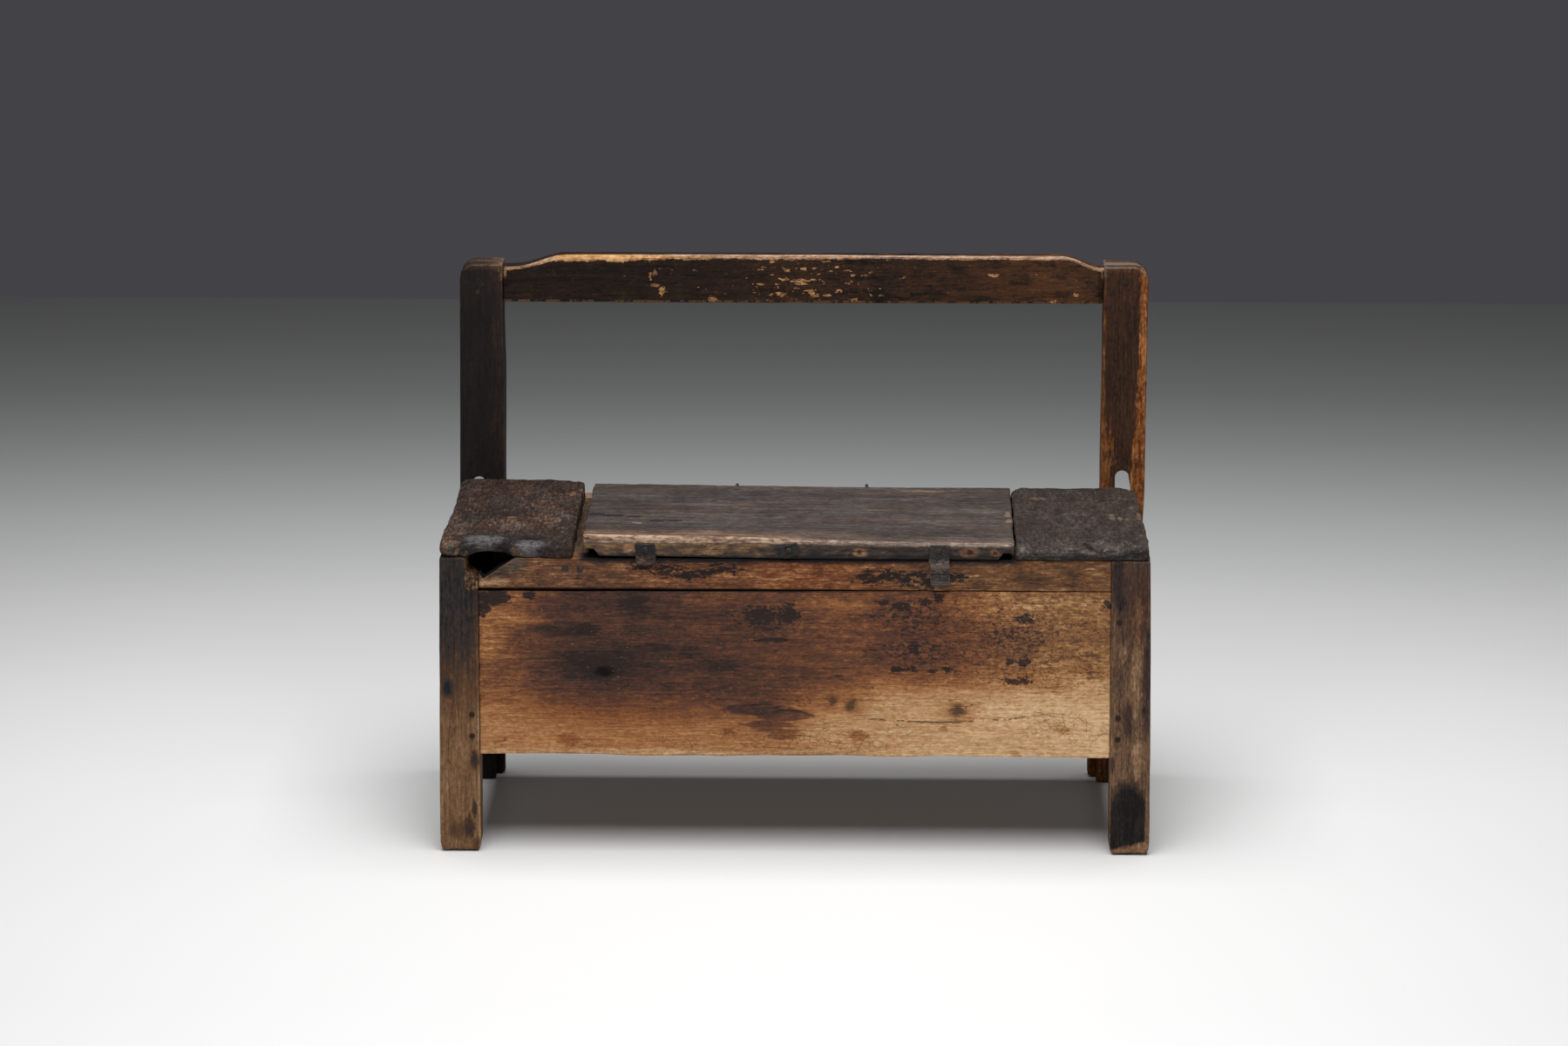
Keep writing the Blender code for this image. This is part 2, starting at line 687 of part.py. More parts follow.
def floor_boards(panel, lower_back):
    """Short boards from front to back, their ends in grooves in the panel and the back board."""
    groove_front = PANEL_BACK - FLOOR_GROOVE
    groove_back = BACK_BOARD_FRONT + FLOOR_GROOVE
    stop = min(LEG_INNER, POST_INNER) - GROOVE_STOP
    low = (-stop, groove_front, FLOOR_BOTTOM - FIT)
    high = (stop, PANEL_BACK + CUT_MARGIN, FLOOR_TOP + FIT)
    cut_box(panel, "panel_groove", low, high)
    low = (-stop, BACK_BOARD_FRONT - CUT_MARGIN, FLOOR_BOTTOM - FIT)
    cut_box(lower_back, "back_groove", low, (stop, groove_back, FLOOR_TOP + FIT))
    reach = SIDE_INNER - FIT
    width = 2 * reach / FLOOR_BOARDS
    corner = stop - FIT
    for index in range(FLOOR_BOARDS):
        left = -reach + index * width + FIT / 2
        right = left + width - FIT
        low = (left, groove_front + FIT, FLOOR_BOTTOM)
        high = (right, groove_back - FIT, FLOOR_TOP)
        piece = board(f"floor_board_{index + 1}", low, high, BARE_INSIDE, FLOOR_EDGE)
        for side, sign in SIDES.items():
            outermost = index == (0 if sign < 0 else FLOOR_BOARDS - 1)
            if not outermost:
                continue
            near, far = span(sign, corner, reach + CUT_MARGIN)
            low = (near, groove_front - CUT_MARGIN, FLOOR_BOTTOM - CUT_MARGIN)
            high = (far, LEG_BACK + FIT, FLOOR_TOP + CUT_MARGIN)
            cut_box(piece, f"{side}_floor_front_notch", low, high)
            low = (near, POST_FRONT - FIT, FLOOR_BOTTOM - CUT_MARGIN)
            high = (far, groove_back + CUT_MARGIN, FLOOR_TOP + CUT_MARGIN)
            cut_box(piece, f"{side}_floor_back_notch", low, high)


def seat_boards():
    """Fixed boards at both ends of the seat, with their back corners worn round."""
    outer = WIDTH / 2 - BOARD_INSET
    left = rounded(
        [
            (-outer, FRONT, BOARD_CORNER),
            (LEFT_BOARD_INNER, FRONT, BOARD_CORNER),
            (LEFT_BOARD_INNER, BOARD_BACK, LEFT_BOARD_BACK_CORNER),
            (-outer, BOARD_BACK, BOARD_CORNER),
        ]
    )
    right = rounded(
        [
            (RIGHT_BOARD_INNER, FRONT, BOARD_CORNER),
            (outer, FRONT, BOARD_CORNER),
            (outer, BOARD_BACK, BOARD_WORN_CORNER),
            (RIGHT_BOARD_INNER, BOARD_BACK, BOARD_WORN_CORNER),
        ]
    )
    place = (BOARD_BOTTOM, BOARD_TOP, GREY_SEAT, BOARD_EDGE)
    return {
        "left": flat_outline("left_seat_board", left, *place),
        "right": flat_outline("right_seat_board", right, *place),
    }


def upright_tool(name, points, reach):
    """A cutter with an outline in X and Z, running back from in front of the bench."""
    tool = add_helper(name, outline_mesh(name, points, reach + CUT_MARGIN))
    tool.rotation_euler = (math.pi / 2, 0, 0)
    tool.location = (0, FRONT + (reach - CUT_MARGIN) / 2, 0)
    return tool


def worn_hole(legs, rail, left_board):
    """A scoop that falls from the rail's top to a tip beside the leg, under an arch in the board."""
    tip = -LEG_INNER + HOLE_TIP
    edge = -LEG_INNER - HOLE_LEG_BITE
    bottom = LEG_HEIGHT - HOLE_DEPTH
    top = LEG_HEIGHT + CUT_MARGIN
    start = -LEG_INNER + HOLE_WIDTH
    scoop = []
    for step in range(HOLE_STEPS + 1):
        turn = math.pi / 2 * step / HOLE_STEPS
        x = tip + (start - tip) * math.sin(turn)
        scoop.append((x, LEG_HEIGHT - HOLE_DEPTH * math.cos(turn), 0))
    corners = [(edge, bottom, HOLE_CORNER), *scoop, (start, top, 0), (edge, top, 0)]
    through = LEG_DEPTH + CUT_MARGIN
    combine(rail, upright_tool("rail_wear", rounded(corners), through), "DIFFERENCE")
    combine(legs["left"], upright_tool("leg_wear", rounded(corners), through), "DIFFERENCE")
    middle = (start + edge) / 2
    arch = []
    for step in range(2 * HOLE_STEPS + 1):
        turn = math.pi * step / (2 * HOLE_STEPS)
        x = middle + ARCH_WIDTH / 2 * math.cos(turn)
        arch.append((x, LEG_HEIGHT + ARCH_RISE * math.sin(turn)))
    ends = (middle - ARCH_WIDTH / 2, middle + ARCH_WIDTH / 2)
    below = LEG_HEIGHT - CUT_MARGIN
    outline = [(ends[0], below), (ends[1], below), *arch]
    combine(left_board, upright_tool("board_wear", outline, ARCH_REACH), "DIFFERENCE")


def bearers(rail, back_rail):
    """Cross-pieces under the inner edges of the fixed boards, tenoned into both rails."""
    made = {}
    middles = {"left": LEFT_BOARD_INNER, "right": RIGHT_BOARD_INNER}
    bottom = LEG_HEIGHT - BEARER_HEIGHT
    tenon_low = bottom + BEARER_TENON_RISE
    tenon_high = tenon_low + BEARER_TENON_HEIGHT
    front = RAIL_BACK + FIT
    back = POST_FRONT - FIT
    for side, x in middles.items():
        low = (x - BEARER_WIDTH / 2, front, bottom)
        high = (x + BEARER_WIDTH / 2, back, LEG_HEIGHT)
        piece = board(f"{side}_bearer", low, high, BARE_INSIDE)
        near = x - BEARER_TENON_WIDTH / 2
        far = x + BEARER_TENON_WIDTH / 2
        ends = {
            "front": (rail, RAIL_BACK - BEARER_TENON_LENGTH, front + TENON_ROOT),
            "rear": (back_rail, back - TENON_ROOT, POST_FRONT + BEARER_TENON_LENGTH),
        }
        for end, (mate, start, stop) in ends.items():
            low = (near, start, tenon_low)
            high = (far, stop, tenon_high)
            mortise_and_tenon(piece, mate, f"{side}_bearer_{end}", low, high)
        made[side] = piece
    height = (tenon_low + tenon_high) / 2
    for place, shift in (("outer", -RAIL_NAIL_SPACING / 2), ("inner", RAIL_NAIL_SPACING / 2)):
        point = (LEFT_BOARD_INNER + shift, FRONT + RAIL_SETBACK, height)
        drilled = [rail, made["left"]]
        nail(f"rail_nail_{place}", point, (0, -1, 0), RAIL_NAIL_LENGTH, drilled)


def seat_strip():
    """The fixed strip behind the lid, lying on the bearers and lapped onto the back rail."""
    low = (LEFT_BOARD_INNER + FIT, LID_BACK + STRIP_GAP, BOARD_BOTTOM)
    high = (RIGHT_BOARD_INNER - FIT, POST_FRONT + STRIP_LAP, BOARD_BOTTOM + STRIP_THICKNESS)
    return board("seat_back_strip", low, high, GREY_SEAT)


def lid_board():
    low = (LID_LEFT, FRONT, BOARD_BOTTOM)
    lid = board("lid", low, (LID_RIGHT, LID_BACK, LID_TOP), GREY_SEAT, LID_EDGE)
    ends = {
        "left": (LID_LEFT - CUT_MARGIN, LID_LEFT + LID_LIP_LEFT),
        "right": (LID_RIGHT - LID_LIP_RIGHT, LID_RIGHT + CUT_MARGIN),
    }
    for side, (near, far) in ends.items():
        low = (near, FRONT - CUT_MARGIN, BOARD_BOTTOM - CUT_MARGIN)
        high = (far, LID_BACK + CUT_MARGIN, BOARD_BOTTOM + LID_LIP_CUT)
        cut_box(lid, f"lid_{side}_lip", low, high)
    return lid


def staple(name, x, strip):
    """A wire staple: its bridge is the hinge's axis, and its points are driven into the strip."""
    half = STAPLE_SPAN / 2
    depth = STRIP_THICKNESS - STAPLE_COVER
    strip_top = BOARD_BOTTOM + STRIP_THICKNESS
    foot = strip_top - depth - HINGE_Z
    corners = [
        (-half, foot, 0),
        (-half, 0, STAPLE_BEND),
        (half, 0, STAPLE_BEND),
        (half, foot, 0),
    ]
    route = rounded(corners, BEND_STEPS)
    curve = bpy.data.curves.new(name, "CURVE")
    curve.dimensions = "3D"
    curve.bevel_depth = WIRE_RADIUS
    curve.bevel_resolution = 2
    curve.use_fill_caps = True
    spline = curve.splines.new("POLY")
    spline.points.add(len(route) - 1)
    for spot, (across, up) in zip(spline.points, route):
        spot.co = (across, 0, up, 1)
    obj = add_part(name, curve, RUSTY_IRON)
    obj.location = (x, HINGE_Y, HINGE_Z)
    for place, shift in (("a", -half), ("b", half)):
        point = (x + shift, HINGE_Y, strip_top)
        drill(strip, f"{name}_hole_{place}", point, (0, 0, 1), WIRE_RADIUS + FIT, depth + FIT)


def hinge_eye(name, x, lid):
    """A wire ring that turns on the staple, with a shank in the lid's back edge."""
    ring = WIRE_RADIUS + HINGE_CLEARANCE + WIRE_RADIUS
    bpy.ops.mesh.primitive_torus_add(
        major_radius=ring,
        minor_radius=WIRE_RADIUS,
        major_segments=RING_SEGMENTS,
        minor_segments=WIRE_SEGMENTS,
    )
    made = bpy.context.active_object
    mesh = made.data
    bpy.data.objects.remove(made, do_unlink=True)
    mesh.name = name
    mesh.transform(Matrix.Rotation(math.pi / 2, 4, "Y"))
    mesh.shade_smooth()
    obj = add_part(name, mesh, RUSTY_IRON)
    obj.location = (x, HINGE_Y, HINGE_Z)
    length = HINGE_SETBACK - ring + EYE_SHANK
    shank = add_helper(name + "_shank", round_mesh(name + "_shank", WIRE_RADIUS, length))
    aim(shank, (x, HINGE_Y - ring, HINGE_Z), (0, 1, 0))
    combine(obj, shank, "UNION")
    point = (x, LID_BACK, HINGE_Z)
    drill(lid, name + "_hole", point, (0, 1, 0), WIRE_RADIUS + FIT, EYE_SHANK + FIT)
    return obj


def strap(name, x, length, tilt, lid):
    """A leather strap held by one nail near its top, hanging over the lid's front edge."""
    half = STRAP_WIDTH / 2
    top = STRAP_ABOVE_NAIL
    corners = [
        (-half, top - length, STRAP_CORNER),
        (half, top - length, STRAP_CORNER),
        (half, top, STRAP_CORNER),
        (-half, top, STRAP_CORNER),
    ]
    obj = add_part(name, outline_mesh(name, rounded(corners), STRAP_THICKNESS), OLD_LEATHER)
    obj.rotation_euler = Matrix.Rotation(math.pi / 2, 3, "X").to_euler()
    obj.rotation_euler.rotate_axis("Z", tilt)
    height = LID_TOP - STRAP_NAIL_DROP
    obj.location = (x, FRONT - FIT - STRAP_THICKNESS / 2, height)
    point = (x, FRONT - FIT - STRAP_THICKNESS, height)
    held = nail(name + "_nail", point, (0, -1, 0), STRAP_NAIL_LENGTH, [obj, lid])
    return [obj, held]


def hinged_lid(strip):
    """The lid with its eyes and straps, all carried by an empty on the hinge axis."""
    pivot = bpy.data.objects.new("lid_pivot", None)
    PARTS.objects.link(pivot)
    pivot.location = (LID_MIDDLE, HINGE_Y, HINGE_Z)
    lid = lid_board()
    moving = [lid]
    for side, sign in SIDES.items():
        x = LID_MIDDLE + sign * HINGE_SPACING / 2
        staple(f"{side}_hinge_staple", x, strip)
        moving.append(hinge_eye(f"{side}_hinge_eye", x, lid))
    straps = {
        "left_strap": (LID_LEFT + LEFT_STRAP_INSET, LEFT_STRAP_LENGTH, 0.0),
        "middle_strap": (LID_MIDDLE + MIDDLE_STRAP_SHIFT, MIDDLE_STRAP_LENGTH, MIDDLE_STRAP_TILT),
        "right_strap": (LID_RIGHT - RIGHT_STRAP_INSET, RIGHT_STRAP_LENGTH, 0.0),
    }
    for name, (x, length, tilt) in straps.items():
        moving += strap(name, x, length, tilt, lid)
    bpy.context.view_layer.update()
    for obj in moving:
        obj.parent = pivot
        obj.matrix_parent_inverse = pivot.matrix_world.inverted()


def chest_bench():
    legs = front_legs()
    posts = rear_posts()
    crest_rail(posts)
    rail = front_rail(legs)
    panel = front_panel(legs)
    side_boards(legs, posts)
    back = back_boards(posts)
    floor_boards(panel, back["lower_back_board"])
    ends = seat_boards()
    worn_hole(legs, rail, ends["left"])
    bearers(rail, back["back_rail"])
    hinged_lid(seat_strip())


clear_scene()
PARTS = new_collection("chest_bench")
CUTTERS = new_collection("chest_bench_cutters")
CUTTERS.hide_render = True
chest_bench()
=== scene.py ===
"""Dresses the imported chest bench: worn planks, stained wood, cracked leather and rusty iron."""

import math

import bmesh
import bpy
import numpy as np
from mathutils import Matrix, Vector


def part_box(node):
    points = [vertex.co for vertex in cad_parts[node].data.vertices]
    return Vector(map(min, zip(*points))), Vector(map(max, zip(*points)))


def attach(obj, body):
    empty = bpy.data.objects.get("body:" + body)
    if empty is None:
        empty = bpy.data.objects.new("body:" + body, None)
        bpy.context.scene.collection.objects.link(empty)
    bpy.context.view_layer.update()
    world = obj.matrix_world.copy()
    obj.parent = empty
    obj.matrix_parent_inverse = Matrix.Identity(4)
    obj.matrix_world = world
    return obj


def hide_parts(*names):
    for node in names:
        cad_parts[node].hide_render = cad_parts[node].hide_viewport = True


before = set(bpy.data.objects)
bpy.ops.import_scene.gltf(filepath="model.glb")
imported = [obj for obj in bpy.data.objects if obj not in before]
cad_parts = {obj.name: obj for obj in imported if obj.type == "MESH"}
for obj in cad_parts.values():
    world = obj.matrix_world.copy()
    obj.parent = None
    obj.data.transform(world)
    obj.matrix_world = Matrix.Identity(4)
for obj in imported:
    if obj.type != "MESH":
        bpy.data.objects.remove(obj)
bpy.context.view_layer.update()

# Camera: a fit to the photograph's corners, in metres and radians.
PHOTO_WIDTH = 1799
SENSOR_WIDTH = 36.0
FOCAL_PIXELS = 5773.8
CAMERA_PLACE = (0.1178, -6.9589, 2.3329)
CAMERA_PITCH = 0.26608
CAMERA_YAW = 0.01958

# Grid of the worn planks. The pieces are built in metres.
ALONG = 0.0075
ACROSS = 0.0032
EDGE_FINE = 0.0014
EDGE_BAND = 0.0070
LEAST_ROUND = 0.0004
MOST_ROUND = 0.46
CUT = 0.004

# The finishes are written in millimetres and in percent of white.
MM = 1000.0
PERCENT = 100.0

AXES = {"x": 0, "y": 1, "z": 2}
SIGNS = {"left": -1, "right": 1}


# ---------------------------------------------------------------- mesh of a worn plank


def hashed(i, j, k, seed):
    """A repeatable value from -1 to 1 for each grid point."""
    n = (i * 374761393 + j * 668265263 + k * 1440662683 + seed * 974634777) & 0xFFFFFFFF
    n = ((n ^ (n >> 13)) * 1274126177) & 0xFFFFFFFF
    return ((n ^ (n >> 16)) & 0xFFFF) / 32767.5 - 1.0


def field(points, size, seed):
    """Smooth noise from -1 to 1 with a feature size, one for all axes or one for each."""
    scaled = points / np.asarray(size, float)
    base = np.floor(scaled).astype(np.int64)
    part = scaled - base
    part = part * part * (3 - 2 * part)
    total = np.zeros(len(points))
    for corner in range(8):
        step = np.array([corner & 1, corner >> 1 & 1, corner >> 2 & 1])
        weight = np.prod(np.where(step, part, 1 - part), axis=1)
        total += weight * hashed(*(base + step).T, seed)
    return total


def ramp_up(value, low, high):
    """Rises smoothly from zero at low to one at high."""
    share = np.clip((value - low) / (high - low), 0, 1)
    return share * share * (3 - 2 * share)


def bump_at(value, middle, half):
    """One at the middle, falling smoothly to zero at half the width on both sides."""
    return 1 - ramp_up(np.abs(value - middle), half * 0.45, half)


def bell(value, middle, width):
    return np.exp(-((value - middle) / width) ** 2)


def share_of(value, low, high):
    return (value - low) / (high - low)


def grid_lines(low, high, step):
    """Grid lines along one side of a plank, closer together near both ends."""
    band = min(EDGE_BAND, (high - low) / 3)
    near = np.arange(0, band, EDGE_FINE)
    count = max(2, round((high - low - 2 * band) / step) + 1)
    middle = np.linspace(low + band, high - band, count)
    return np.concatenate([low + near, middle, (high - near)[::-1]])


def lattice(lines):
    """A closed box surface with a point at every crossing of the grid lines."""
    counts = [len(line) for line in lines]
    sides = [
        (axis, end, tuple(end if i == axis else slice(None) for i in range(3)))
        for axis in range(3) for end in (0, -1)
    ]
    shell = np.zeros(counts, bool)
    for _, _, side in sides:
        shell[side] = True
    number = np.full(counts, -1)
    number[shell] = np.arange(shell.sum())
    points = np.stack([line[i] for line, i in zip(lines, np.nonzero(shell))], axis=1)
    faces = []
    for axis, end, side in sides:
        grid = number[side]
        quad = [grid[:-1, :-1], grid[:-1, 1:], grid[1:, 1:], grid[1:, :-1]]
        if (axis == 1) != (end == -1):
            quad.reverse()
        faces.append(np.stack([corner.ravel() for corner in quad], axis=1))
    return points, np.concatenate(faces)


def grain_size(grain, along, across):
    size = [across] * 3
    size[AXES[grain]] = along
    return size


def worn_box(low, high, grain, seed, radius, rough, wear=None, finer=()):
    """A hand-worked box: rounded and chipped edges of uneven radius, and wavy faces.

    Lines named finer are added along the height. Gives the moved points, the points as
    they were, the faces and the distance to an edge.
    """
    low = np.asarray(low, float)
    high = np.asarray(high, float)
    steps = grain_size(grain, ALONG, ACROSS)
    lines = [grid_lines(*side) for side in zip(low, high, steps)]
    lines[2] = np.union1d(lines[2], finer)
    rest, faces = lattice(lines)
    sides = np.minimum(rest - low, high - rest)
    edge = np.sort(sides, axis=1)[:, 1]
    uneven = 1 + 0.45 * field(rest, 0.045, seed) + 0.25 * field(rest, 0.012, seed + 1)
    chips = np.clip(field(rest, 0.016, seed + 2) - 0.55, 0, 0.3) / 0.3
    size = radius * (uneven + 0.9 * chips)
    if wear is not None:
        size = size + wear(*rest.T) * (0.75 + 0.35 * field(rest, 0.010, seed + 3))
    size = np.clip(size, LEAST_ROUND, (high - low).min() * MOST_ROUND)[:, None]
    inner = np.clip(rest, low + size, high - size)
    out = rest - inner
    normal = out / np.linalg.norm(out, axis=1)[:, None]
    wave = field(rest, grain_size(grain, 0.16, 0.022), seed + 4)
    fine = field(rest, grain_size(grain, 0.05, 0.005), seed + 5)
    points = inner + normal * (size + rough * (wave + 0.5 * fine)[:, None])
    points[:, 2] = np.maximum(points[:, 2], 0.0)
    return points, rest, faces, edge


def joined(*shells):
    """Several shells of points, faces and edge distances as one."""
    starts = np.cumsum([0] + [len(points) for points, _, _ in shells])
    points, faces, edges = zip(*shells)
    faces = [part + start for part, start in zip(faces, starts)]
    return np.concatenate(points), np.concatenate(faces), np.concatenate(edges)


def add_piece(name, points, faces, edge, material):
    mesh = bpy.data.meshes.new(name)
    mesh.from_pydata(points.tolist(), [], faces.tolist())
    distance = mesh.attributes.new("edge", "FLOAT", "POINT")
    distance.data.foreach_set("value", edge.astype(np.float32))
    mesh.shade_smooth()
    mesh.materials.append(material)
    piece = bpy.data.objects.new(name, mesh)
    bpy.context.collection.objects.link(piece)
    return piece


def stand_for(piece, node, body):
    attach(piece, body)
    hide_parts(node)


def cut_away(piece, outlines):
    """Cuts upright prisms, each an x-z outline with a front and a back, out of a piece."""
    for outline, front, back in outlines:
        mesh = bpy.data.meshes.new("cutter")
        build = bmesh.new()
        near = [build.verts.new((x, front, z)) for x, z in outline]
        far = [build.verts.new((x, back, z)) for x, z in outline]
        build.faces.new(near)
        build.faces.new(far[::-1])
        for i in range(len(outline)):
            build.faces.new((near[i - 1], far[i - 1], far[i], near[i]))
        bmesh.ops.recalc_face_normals(build, faces=build.faces)
        build.to_mesh(mesh)
        build.free()
        cutter = bpy.data.objects.new("cutter", mesh)
        bpy.context.collection.objects.link(cutter)
        step = piece.modifiers.new("cut", "BOOLEAN")
        step.object = cutter
        step.solver = "EXACT"
        depsgraph = bpy.context.evaluated_depsgraph_get()
        result = bpy.data.meshes.new_from_object(piece.evaluated_get(depsgraph))
        piece.modifiers.clear()
        old = piece.data
        piece.data = result
        bpy.data.meshes.remove(old)
        bpy.data.objects.remove(cutter)
        bpy.data.meshes.remove(mesh)
    piece.data.shade_smooth()


def round_corner(points, axes, centre, signs):
    """Turns one square corner of a plank into a quarter circle, in the plane of two axes."""
    a, b = (AXES[axis] for axis in axes)
    u = (points[:, a] - centre[0]) * signs[0]
    v = (points[:, b] - centre[1]) * signs[1]
    inside = (u > 0) & (v > 0)
    longest = np.maximum(u, v)
    share = np.where(inside, longest / np.maximum(np.hypot(u, v), 1e-9), 1.0)
    points[:, a] = np.where(inside, centre[0] + signs[0] * u * share, points[:, a])
    points[:, b] = np.where(inside, centre[1] + signs[1] * v * share, points[:, b])


# ---------------------------------------------------------------- procedural finishes


def triple(size):
    """A size for each axis; a single number is the same on all three."""
    return (size,) * 3 if isinstance(size, (int, float)) else size


class Finish:
    """A material of nodes that read the piece's own coordinates, in millimetres.

    A finish keeps the colour that its layers are laid on. Colours are in percent of white.
    """

    def __init__(self, name, grain="x", seed=0.0):
        self.material = bpy.data.materials.new(name)
        self.material.use_nodes = True
        self.tree = self.material.node_tree
        self.shader = self.tree.nodes["Principled BSDF"]
        self.grain = grain
        self.colour = None
        self.shift = (1.37 * seed, 2.11 * seed, 0.73 * seed)
        metres = self.make("ShaderNodeTexCoord").outputs["Object"]
        self.place = self.vector("MULTIPLY", metres, triple(MM)).outputs[0]
        self.x, self.y, self.z = self.parts(self.place)
        edge = self.make("ShaderNodeAttribute", attribute_name="edge").outputs["Fac"]
        self.edge = self.scale(edge, MM)
        self.fibre = self.noise(grain_size(grain, 45, 2.4), 6, 0.76)
        self.band = self.noise(grain_size(grain, 300, 12), 4, 0.6, 0.5)
        self.mottle = self.noise(22, 7, 0.7)
        self.grit = self.noise(grain_size(grain, 8, 3.6), 4, 0.74, 0.2, 21.0)
        self.fine = self.total(-1.0, (self.fibre, 1.0), (self.grit, 1.0))
        self.tone = self.total(
            -1.5, (self.fibre, 1.0), (self.band, 0.55), (self.mottle, 0.65), (self.grit, 0.8),
        )

    def make(self, kind, **settings):
        node = self.tree.nodes.new(kind)
        for key, value in settings.items():
            setattr(node, key, value)
        return node

    def put(self, socket, value):
        if isinstance(value, bpy.types.NodeSocket):
            self.tree.links.new(value, socket)
        elif socket.type == "RGBA":
            socket.default_value = self.solid(value)
        else:
            socket.default_value = value

    def solid(self, colour):
        return (*(part / PERCENT for part in colour), 1.0)

    def math(self, operation, a, b=0.0, c=0.0, clamp=False):
        node = self.make("ShaderNodeMath", operation=operation, use_clamp=clamp)
        for socket, value in zip(node.inputs, (a, b, c)):
            self.put(socket, value)
        return node.outputs[0]

    def add(self, a, b):
        return self.math("ADD", a, b)

    def chain(self, operation, first, *others):
        for value in others:
            first = self.math(operation, first, value)
        return first

    def scale(self, *values):
        return self.chain("MULTIPLY", *values)

    def most(self, *values):
        return self.chain("MAXIMUM", *values)

    def less(self, a, b):
        return self.math("SUBTRACT", a, b, clamp=True)

    def metres(self, length):
        return self.scale(length, 1 / MM)

    def total(self, start, *shares):
        """A start value plus several values, each times its share."""
        result = start
        for value, share in shares:
            result = self.math("MULTIPLY_ADD", value, share, result)
        return result

    def vector(self, operation, *values):
        node = self.make("ShaderNodeVectorMath", operation=operation)
        for socket, value in zip(node.inputs, values):
            self.put(socket, value)
        return node

    def parts(self, place):
        node = self.make("ShaderNodeSeparateXYZ")
        self.put(node.inputs[0], place)
        return node.outputs[0], node.outputs[1], node.outputs[2]

    def sized(self, size, shift=0.0, place=None):
        scale = tuple(1 / side for side in triple(size))
        start = tuple(part + shift for part in self.shift)
        return self.vector("MULTIPLY_ADD", place or self.place, scale, start).outputs[0]

    def noise(self, size, detail=3, rough=0.5, swirl=0.0, shift=0.0, place=None, colour=False):
        """Noise from 0 to 1 with a feature size, one for all axes or one for each."""
        node = self.make("ShaderNodeTexNoise")
        self.put(node.inputs["Vector"], self.sized(size, shift, place))
        node.inputs["Scale"].default_value = 1.0
        node.inputs["Detail"].default_value = detail
        node.inputs["Roughness"].default_value = rough
        node.inputs["Distortion"].default_value = swirl
        return node.outputs[1 if colour else 0]

    def wobble(self, size, amount, shift=0.0, place=None):
        """Coordinates moved about by noise, for uneven outlines."""
        moved = self.noise(size, 5, 0.65, shift=shift, colour=True)
        centred = self.vector("SUBTRACT", moved, triple(0.5)).outputs[0]
        amount = triple(amount)
        return self.vector("MULTIPLY_ADD", centred, amount, place or self.place).outputs[0]

    def smooth(self, value, low, high):
        """Rises smoothly from zero at low to one at high, or falls where low is greater."""
        node = self.make("ShaderNodeMapRange", interpolation_type="SMOOTHSTEP")
        self.put(node.inputs["Value"], value)
        self.put(node.inputs["From Min"], low)
        self.put(node.inputs["From Max"], high)
        return node.outputs["Result"]

    def within(self, value, low, high, soft):
        """One between low and high, fading to zero outside."""
        rise = self.smooth(value, low - soft, low + soft)
        return self.scale(rise, self.smooth(value, high + soft, high - soft))

    def uneven(self, size, shift=0.0):
        """Noise from -0.5 to 0.5."""
        return self.math("SUBTRACT", self.noise(size, 5, 0.65, 0.3, shift), 0.5)

    def fret(self, mask, size, amount, shift=0.0, soft=0.18):
        """A soft mask broken up by noise, so its edge is ragged."""
        ragged = self.total(mask, (self.uneven(size, shift), amount))
        return self.smooth(ragged, 0.5 - soft, 0.5 + soft)

    def mix(self, share, a, b, way="MIX"):
        node = self.make("ShaderNodeMix", data_type="RGBA", blend_type=way)
        self.put(node.inputs[0], share)
        self.put(node.inputs[6], a)
        self.put(node.inputs[7], b)
        return node.outputs[2]

    def layer(self, colour, mask, share, top, way="MIX"):
        """A colour laid over another through a mask at most share strong."""
        return self.mix(self.scale(mask, share), colour, top, way)

    def lay(self, mask, share, top, way="MIX"):
        """Lays a colour over the finish's own."""
        self.colour = self.layer(self.colour, mask, share, top, way)

    def ramp(self, value, *stops):
        node = self.make("ShaderNodeValToRGB")
        elements = node.color_ramp.elements
        while len(elements) < len(stops):
            elements.new(0.5)
        for element, (position, colour) in zip(elements, stops):
            element.position = position
            element.color = self.solid(colour)
        self.put(node.inputs[0], value)
        return node.outputs[0]

    def curve(self, value, *stops):
        """A number that follows another through several stops."""
        return self.ramp(value, *((place, triple(PERCENT * height)) for place, height in stops))

    def wood(self, dark, middle, light):
        """Three tones laid along the grain."""
        tone = self.add(self.tone, 0.5)
        return self.ramp(tone, (0.32, dark), (0.5, middle), (0.68, light))

    def blotchy(self, dark, middle, light):
        """Three tones in soft blotches."""
        return self.ramp(self.mottle, (0.34, dark), (0.5, middle), (0.66, light))

    def ovals(self, axes, place, soft, *ovals):
        """The greatest of several soft ovals, each a centre and two radii in one plane."""
        a, b = (AXES[axis] for axis in axes)
        masks = []
        for u, v, wide, high in ovals:
            scale = [0.0, 0.0, 0.0]
            start = [0.0, 0.0, 0.0]
            scale[a], start[a] = 1 / wide, -u / wide
            scale[b], start[b] = 1 / high, -v / high
            near = self.vector("MULTIPLY_ADD", place, tuple(scale), tuple(start)).outputs[0]
            reach = self.vector("LENGTH", near).outputs["Value"]
            masks.append(self.smooth(reach, 1 + soft, 1 - soft))
        return self.most(*masks)

    def line(self, distance, width):
        """One on a line, fading out over a width on both sides."""
        return self.smooth(self.math("ABSOLUTE", distance), width, 0.0)

